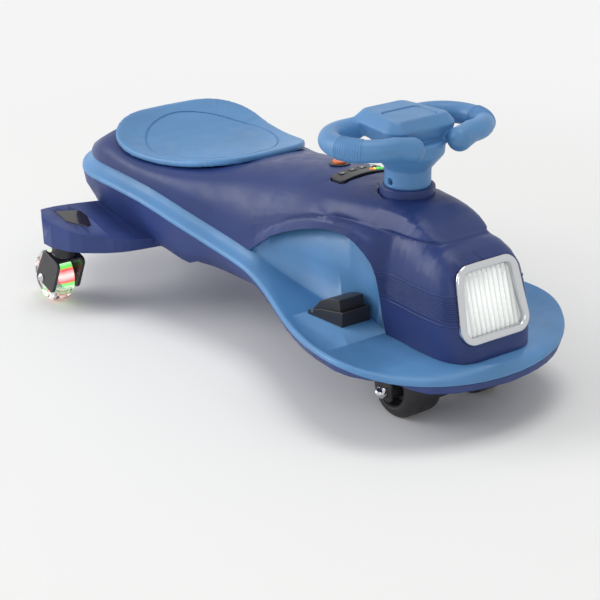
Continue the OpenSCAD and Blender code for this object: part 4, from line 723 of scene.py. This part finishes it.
class WIGGLE_OT_shells(bpy.types.Operator):
    """Upper shell, deck and lower shell"""
    bl_idname = "wiggle.shells"
    bl_label = "Shells"

    def execute(self, context):
        z = context.scene.wiggle_sizes
        skin = creased(copy_of("upper_shell"), z.crease, z.crease_fade)
        stand_in(smooth(skin, HOOD_BEND), "navy", "upper_shell")
        stand_in(smooth(copy_of("deck"), SHELL_BEND), "blue", "deck")
        # The lower shell takes the navy painted paler, as painted sheen
        stand_in(smooth(copy_of("lower_shell"), SHELL_BEND), "navy_grain_sheen", "lower_shell")
        return {"FINISHED"}


# Nose, in metres: a point inside it, reach of the faces that a rib's cut needs, and ends of the ribs
NOSE_X, NOSE_SPARE_X, NOSE_SPARE_Z = 0.2, 0.03, 0.06
RIBS_REAR, RIBS_FRONT = 0.2175, 0.343
# The bead above and below the ribs: its width beside theirs, and its distance in pitches
BEAD_SHARE, BEAD_GAP = 1.5, 2


def nose_section(height, start, stop):
    """Edges where a level plane cuts the outside of the nose, between two places along the car."""
    skin = copy_of("upper_shell")
    mesh = bmesh.new()
    mesh.from_mesh(skin.data)
    spare = []
    for face in mesh.faces:
        mid = face.calc_center_median()
        outward = face.normal.x * (mid.x - NOSE_X) + face.normal.y * mid.y
        if outward <= 0 or mid.x < start - NOSE_SPARE_X or abs(mid.z - height) > NOSE_SPARE_Z:
            spare.append(face)
    bmesh.ops.delete(mesh, geom=spare, context="FACES")
    mesh.to_mesh(skin.data)
    mesh.free()
    for where, facing, inner, outer in (
        ((start, 0, 0), (1, 0, 0), True, False),
        ((stop, 0, 0), (1, 0, 0), False, True),
        ((0, 0, height), (0, 0, 1), True, True),
    ):
        edit(skin)
        bpy.ops.mesh.bisect(plane_co=where, plane_no=facing, clear_inner=inner, clear_outer=outer)
        close()
    return skin


class WIGGLE_OT_ribs(bpy.types.Operator):
    """Band of fine ribs round each side of the nose"""
    bl_idname = "wiggle.ribs"
    bl_label = "Nose ribs"

    def execute(self, context):
        z = context.scene.wiggle_sizes
        rows = [(z.rib_foot + k * z.rib_pitch, z.rib_r) for k in range(z.ribs)]
        bead_r = BEAD_SHARE * z.rib_r
        rows.insert(0, (z.rib_foot - BEAD_GAP * z.rib_pitch, bead_r))
        rows.append((z.rib_foot + (z.ribs - 1 + BEAD_GAP) * z.rib_pitch, bead_r))
        beads = []
        for height, radius in rows:
            bead = nose_section(height, RIBS_REAR, RIBS_FRONT)
            alone(bead)
            bpy.ops.object.convert(target="CURVE")
            bead.data.bevel_depth = radius
            bead.data.bevel_resolution = 2
            bead.data.use_fill_caps = True
            bpy.ops.object.convert(target="MESH")
            beads.append(bead)
        ribs = joined(beads, "nose_ribs")
        dress(smooth(ribs, SOFT_BEND), FINISH["navy"], "car", SLOT_OF["upper_shell"])
        return {"FINISHED"}


# Seat: how far its outline is evened out, in degrees, points of its groove, how much further in the groove
# ends at the front, how much it narrows there, and the height from which it is laid on, in metres
SEAT_SPREAD, GROOVE_POINTS, GROOVE_FRONT_SHARE, GROOVE_TAPER_SHARE, GROOVE_DROP = 14, 160, 1.5, 0.12, 0.02


class WIGGLE_OT_seat(bpy.types.Operator):
    """Dished seat with a rounded rim and a teardrop groove"""
    bl_idname = "wiggle.seat"
    bl_label = "Seat"

    def execute(self, context):
        z = context.scene.wiggle_sizes
        low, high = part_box("seat")
        seat = evened(softened("seat"), low[0] + high[1], SEAT_SPREAD)
        rear, front = low[0] + z.groove_in, high[0] - GROOVE_FRONT_SHARE * z.groove_in
        half = high[1] - z.groove_in
        round_to = rear + half
        bpy.ops.object.select_all(action="DESELECT")
        bpy.ops.mesh.primitive_circle_add(vertices=GROOVE_POINTS, radius=1, location=(0, 0, 0))
        path = context.active_object
        for v in path.data.vertices:
            angle = math.atan2(v.co.y, v.co.x)
            along, across = math.cos(angle), math.sin(angle)
            if along < 0:
                x = round_to + along * half
                y = across * half
            else:
                x = round_to + along * (front - round_to)
                y = across * half * (1 - GROOVE_TAPER_SHARE * along)
            v.co = (x, y, high[2] + GROOVE_DROP)
        modify(path, "SHRINKWRAP", target=seat, wrap_method="PROJECT", use_project_z=True,
               use_negative_direction=True, use_positive_direction=False)
        alone(path)
        bpy.ops.object.convert(target="CURVE")
        path.data.bevel_depth = z.groove_r
        path.data.bevel_resolution = 3
        bpy.ops.object.convert(target="MESH")
        edit(path)
        bpy.ops.mesh.remove_doubles(threshold=CUT_SLACK * MM)
        bpy.ops.mesh.normals_make_consistent(inside=False)
        close()
        modify(seat, "BOOLEAN", operation="DIFFERENCE", object=path, solver="EXACT")
        bpy.data.objects.remove(path)
        stand_in(smooth(seat, EDGE_BEND), "blue", "seat")
        return {"FINISHED"}


# Steering wheel and controls

# Middle and radius of the hand loops, and half their thickness
LOOP_X, LOOP_Y, LOOP_Z, LOOP_R, GRIP_R = 198.025 * MM, 54 * MM, 297 * MM, 43 * MM, 12.7 * MM
# Ribs on each loop: how many, where they start and how far apart they are, in degrees, and their faceting
GRIP_RIBS, GRIP_TURN, GRIP_STEP, GRIP_FACETS, RIB_FACETS = 12, 50, 3, 36, 8
# Smoothing passes of the wheel, and what they leave alone: the horn's edge and the column below it
WHEEL_PASSES, HORN_EDGE, COLUMN_DROP = 22, 3 * MM, 45 * MM
# Rounding of the collar's edges
COLLAR_EDGE = 0.8 * MM
# Height that pressed pieces lose underneath
HORN_ROOM, KEY_ROOM = 1.6 * MM, 0.7 * MM


class WIGGLE_OT_steering(bpy.types.Operator):
    """Steering wheel, horn pad and column collar"""
    bl_idname = "wiggle.steering"
    bl_label = "Steering"

    def execute(self, context):
        z = context.scene.wiggle_sizes
        low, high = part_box("horn_pad")

        def kept(place):
            in_pad = all(a - HORN_EDGE < c < b + HORN_EDGE for a, b, c in zip(low, high, place))
            return in_pad or place.z < low[2] - COLUMN_DROP

        wheel = rounded_off(softened("steering_wheel"), WHEEL_PASSES, kept)
        stand_in(wheel, "blue", "steering_wheel")
        stand_in(raised_foot(softened("horn_pad"), HORN_ROOM), "blue", "horn_pad")
        stand_in(edged(copy_of("column_collar"), COLLAR_EDGE), "navy", "column_collar")
        rings = []
        for side in (1, -1):
            for k in range(GRIP_RIBS):
                turn = math.radians(GRIP_TURN + GRIP_STEP * k)
                x, y = LOOP_X + LOOP_R * math.cos(turn), side * (LOOP_Y + LOOP_R * math.sin(turn))
                bpy.ops.object.select_all(action="DESELECT")
                bpy.ops.mesh.primitive_torus_add(
                    major_radius=GRIP_R, minor_radius=z.grip_rib,
                    major_segments=GRIP_FACETS, minor_segments=RIB_FACETS,
                    location=(x, y, LOOP_Z), rotation=(math.pi / 2, 0, side * turn))
                ring = context.active_object
                bpy.ops.object.transform_apply()
                rings.append(smooth(ring, SOFT_BEND))
        ribs = joined(rings, "grip_ribs")
        dress(ribs, FINISH["blue"], "steering", SLOT_OF["steering_wheel"])
        return {"FINISHED"}


# Marks on the keys, a bar, a triangle, a square and a disc: corners, turn, stretch along and across the car
MARKS = ((4, math.pi / 4, (0.45, 1.5)), (3, 0, (1, 1)), (4, math.pi / 4, (1, 1)), (20, 0, (1, 1)))
MARK_R, MARK_H, MARK_LIFT, MARK_EDGE = 1.7 * MM, 0.5 * MM, -0.12 * MM, 0.12 * MM


class WIGGLE_OT_controls(bpy.types.Operator):
    """Panel, keys with plain marks, charge lamps and power button"""
    bl_idname = "wiggle.controls"
    bl_label = "Controls"

    def execute(self, context):
        for node, finish in (
            ("control_panel", "gloss"), ("power_button", "orange"), ("power_switch", "gloss"),
        ):
            stand_in(softened(node), finish, node)
        paint("battery_leds", FINISH["charge"])
        for k, (corners, turn, (along, across)) in enumerate(MARKS):
            node = "key_%d" % (k + 1)
            stand_in(raised_foot(softened(node), KEY_ROOM), "gloss", node)
            low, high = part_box(node)
            mid = [(a + b) / 2 for a, b in zip(low, high)]
            bpy.ops.object.select_all(action="DESELECT")
            bpy.ops.mesh.primitive_cylinder_add(
                vertices=corners, radius=MARK_R, depth=MARK_H, location=(0, 0, 0), rotation=(0, 0, turn))
            mark = context.active_object
            bpy.ops.object.transform_apply()
            edit(mark)
            bpy.ops.transform.resize(value=(along, across, 1))
            bpy.ops.transform.translate(value=(mid[0], mid[1], high[2] + MARK_LIFT))
            close()
            mark.name = "key_mark_%d" % (k + 1)
            modify(mark, "BEVEL", width=MARK_EDGE, segments=2)
            dress(smooth(mark), FINISH["white"], BODY_OF[node], SLOT_OF[node])
        return {"FINISHED"}


class WIGGLE_OT_pedal(bpy.types.Operator):
    """Accelerator pedal, its housing and the spring that it presses together"""
    bl_idname = "wiggle.pedal"
    bl_label = "Pedal"

    def execute(self, context):
        for node in ("accelerator_pedal", "pedal_housing"):
            stand_in(softened(node), "black", node)
        spring = stand_in(smooth(copy_of("pedal_spring"), SOFT_BEND), "steel", "pedal_spring")
        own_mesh(spring)
        return {"FINISHED"}


# Lights

# Row of small prisms along the foot of the headlight lens: how many, pitch, lift over the lens's foot,
# radius at foot and tip, and height
PRISMS, PRISM_PITCH, PRISM_LIFT = 17, 4.2 * MM, 2.4 * MM
PRISM_R, PRISM_TIP_R, PRISM_H = 1.9 * MM, 0.4 * MM, 2.4 * MM
# Normals of the lens's front: forwards by this much, and sideways by less than this
FRONT_LEAST, FRONT_SIDEWAYS = 0.5, 0.05
# Facets in the rounding of the bezel
BEZEL_STEPS = 5


class WIGGLE_OT_headlight(bpy.types.Operator):
    """Chrome bezel and lit, fluted lens with a row of prisms at its foot"""
    bl_idname = "wiggle.headlight"
    bl_label = "Headlight"

    def execute(self, context):
        z = context.scene.wiggle_sizes
        bezel = edged(copy_of("headlight_bezel"), z.bezel_edge, BEZEL_STEPS)
        stand_in(bezel, "chrome", "headlight_bezel")
        lens = smooth(copy_of("headlight_lens"), LENS_BEND)
        out = Vector()
        for face in CAD["headlight_lens"].data.polygons:
            if face.normal.x > FRONT_LEAST and abs(face.normal.y) < FRONT_SIDEWAYS:
                out += face.normal * face.area
        out.normalize()
        up = Vector((-out.z, 0, out.x))
        middle = sum((Vector(c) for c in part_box("headlight_lens")), Vector()) / 2
        foot = min(v.co.dot(up) for v in lens.data.vertices)
        prisms = []
        for k in range(PRISMS):
            across = (k - (PRISMS - 1) / 2) * PRISM_PITCH
            at = middle + up * (foot + PRISM_LIFT - middle.dot(up)) + Vector((0, across, 0))
            bpy.ops.object.select_all(action="DESELECT")
            bpy.ops.mesh.primitive_cone_add(
                vertices=4, radius1=PRISM_R, radius2=PRISM_TIP_R, depth=PRISM_H, location=at,
                rotation=out.to_track_quat("Z", "Y").to_euler())
            prism = context.active_object
            bpy.ops.object.transform_apply()
            prisms.append(prism)
        stand_in(joined([lens, *prisms], lens.name), "lens", "headlight_lens")
        paint("headlight_reflector", FINISH["chrome"])
        paint("headlight_lamp", FINISH["lens"])
        return {"FINISHED"}


class WIGGLE_OT_tail_lights(bpy.types.Operator):
    """Smoked tail lights on the wings"""
    bl_idname = "wiggle.tail_lights"
    bl_label = "Tail lights"

    def execute(self, context):
        for side in SIDES:
            node = "tail_light_" + side
            stand_in(softened(node), "smoked", node)
        return {"FINISHED"}


# Running gear

class WIGGLE_OT_casters(bpy.types.Operator):
    """Rear forks and their light-up wheels"""
    bl_idname = "wiggle.casters"
    bl_label = "Casters"

    def execute(self, context):
        for side in SIDES:
            for node, finish in (("caster_fork_", "gloss"), ("rear_tyre_", "clear")):
                stand_in(softened(node + side), finish, node + side)
            for node, finish in (
                ("rear_ring_", "wheel_light"), ("rear_hub_", "white"), ("caster_axle_", "chrome"),
            ):
                stand_in(smooth(copy_of(node + side)), finish, node + side)
        return {"FINISHED"}


class WIGGLE_OT_front(bpy.types.Operator):
    """Front truck, its wheels and the dome nuts"""
    bl_idname = "wiggle.front"
    bl_label = "Front wheels"

    def execute(self, context):
        stand_in(softened("truck_frame"), "black", "truck_frame")
        stand_in(smooth(copy_of("axle_nuts")), "chrome", "axle_nuts")
        for side in SIDES:
            tyre, hub = "front_tyre_" + side, "front_hub_" + side
            stand_in(softened(tyre), "tyre", tyre)
            stand_in(smooth(copy_of(hub)), "black", hub)
        return {"FINISHED"}


class WIGGLE_OT_inside(bpy.types.Operator):
    """Inner pieces that keep the frame's own shape"""
    bl_idname = "wiggle.inside"
    bl_label = "Inner pieces"

    def execute(self, context):
        nodes_of = {
            "steel": ["pedal_pin", "steering_shaft", "column_screw", "shaft_nut", "front_axle",
                      "drive_motor", *("caster_stem_" + s for s in SIDES)],
            "grey": ["upper_bush", "lower_bush", "controller_box", *("caster_bush_" + s for s in SIDES),
                     *("front_bush_" + s for s in SIDES)],
            "black": ["speaker", "charge_socket", "gearbox"],
            "wrap": ["battery_pack"],
        }
        for finish, nodes in nodes_of.items():
            for node in nodes:
                paint(node, FINISH[finish])
        return {"FINISHED"}


class WIGGLE_PT_panel(bpy.types.Panel):
    """Steps of the model"""
    bl_idname = "WIGGLE_PT_panel"
    bl_label = "Wiggle Car"
    bl_space_type = "VIEW_3D"
    bl_region_type = "UI"
    bl_category = "Wiggle Car"

    def draw(self, context):
        for step in STEPS:
            self.layout.operator(step.bl_idname)


STEPS = (
    WIGGLE_OT_stage, WIGGLE_OT_shells, WIGGLE_OT_ribs, WIGGLE_OT_seat, WIGGLE_OT_steering,
    WIGGLE_OT_controls, WIGGLE_OT_pedal, WIGGLE_OT_headlight, WIGGLE_OT_tail_lights, WIGGLE_OT_casters,
    WIGGLE_OT_front, WIGGLE_OT_inside,
)
GROUPS = {"wiggle_stage": WiggleStage, "wiggle_colours": WiggleColours, "wiggle_sizes": WiggleSizes}
CLASSES = (*GROUPS.values(), *STEPS, WIGGLE_PT_panel)


def register():
    for c in CLASSES:
        bpy.utils.register_class(c)
    for name, group in GROUPS.items():
        setattr(bpy.types.Scene, name, PointerProperty(type=group))


def unregister():
    for name in GROUPS:
        delattr(bpy.types.Scene, name)
    for c in reversed(CLASSES):
        bpy.utils.unregister_class(c)


def main():
    register()
    FINISH.update(make_materials(bpy.context.scene.wiggle_colours))
    for step in STEPS:
        group, name = step.bl_idname.split(".")
        getattr(getattr(bpy.ops, group), name)()


if __name__ == "__main__":
    main()
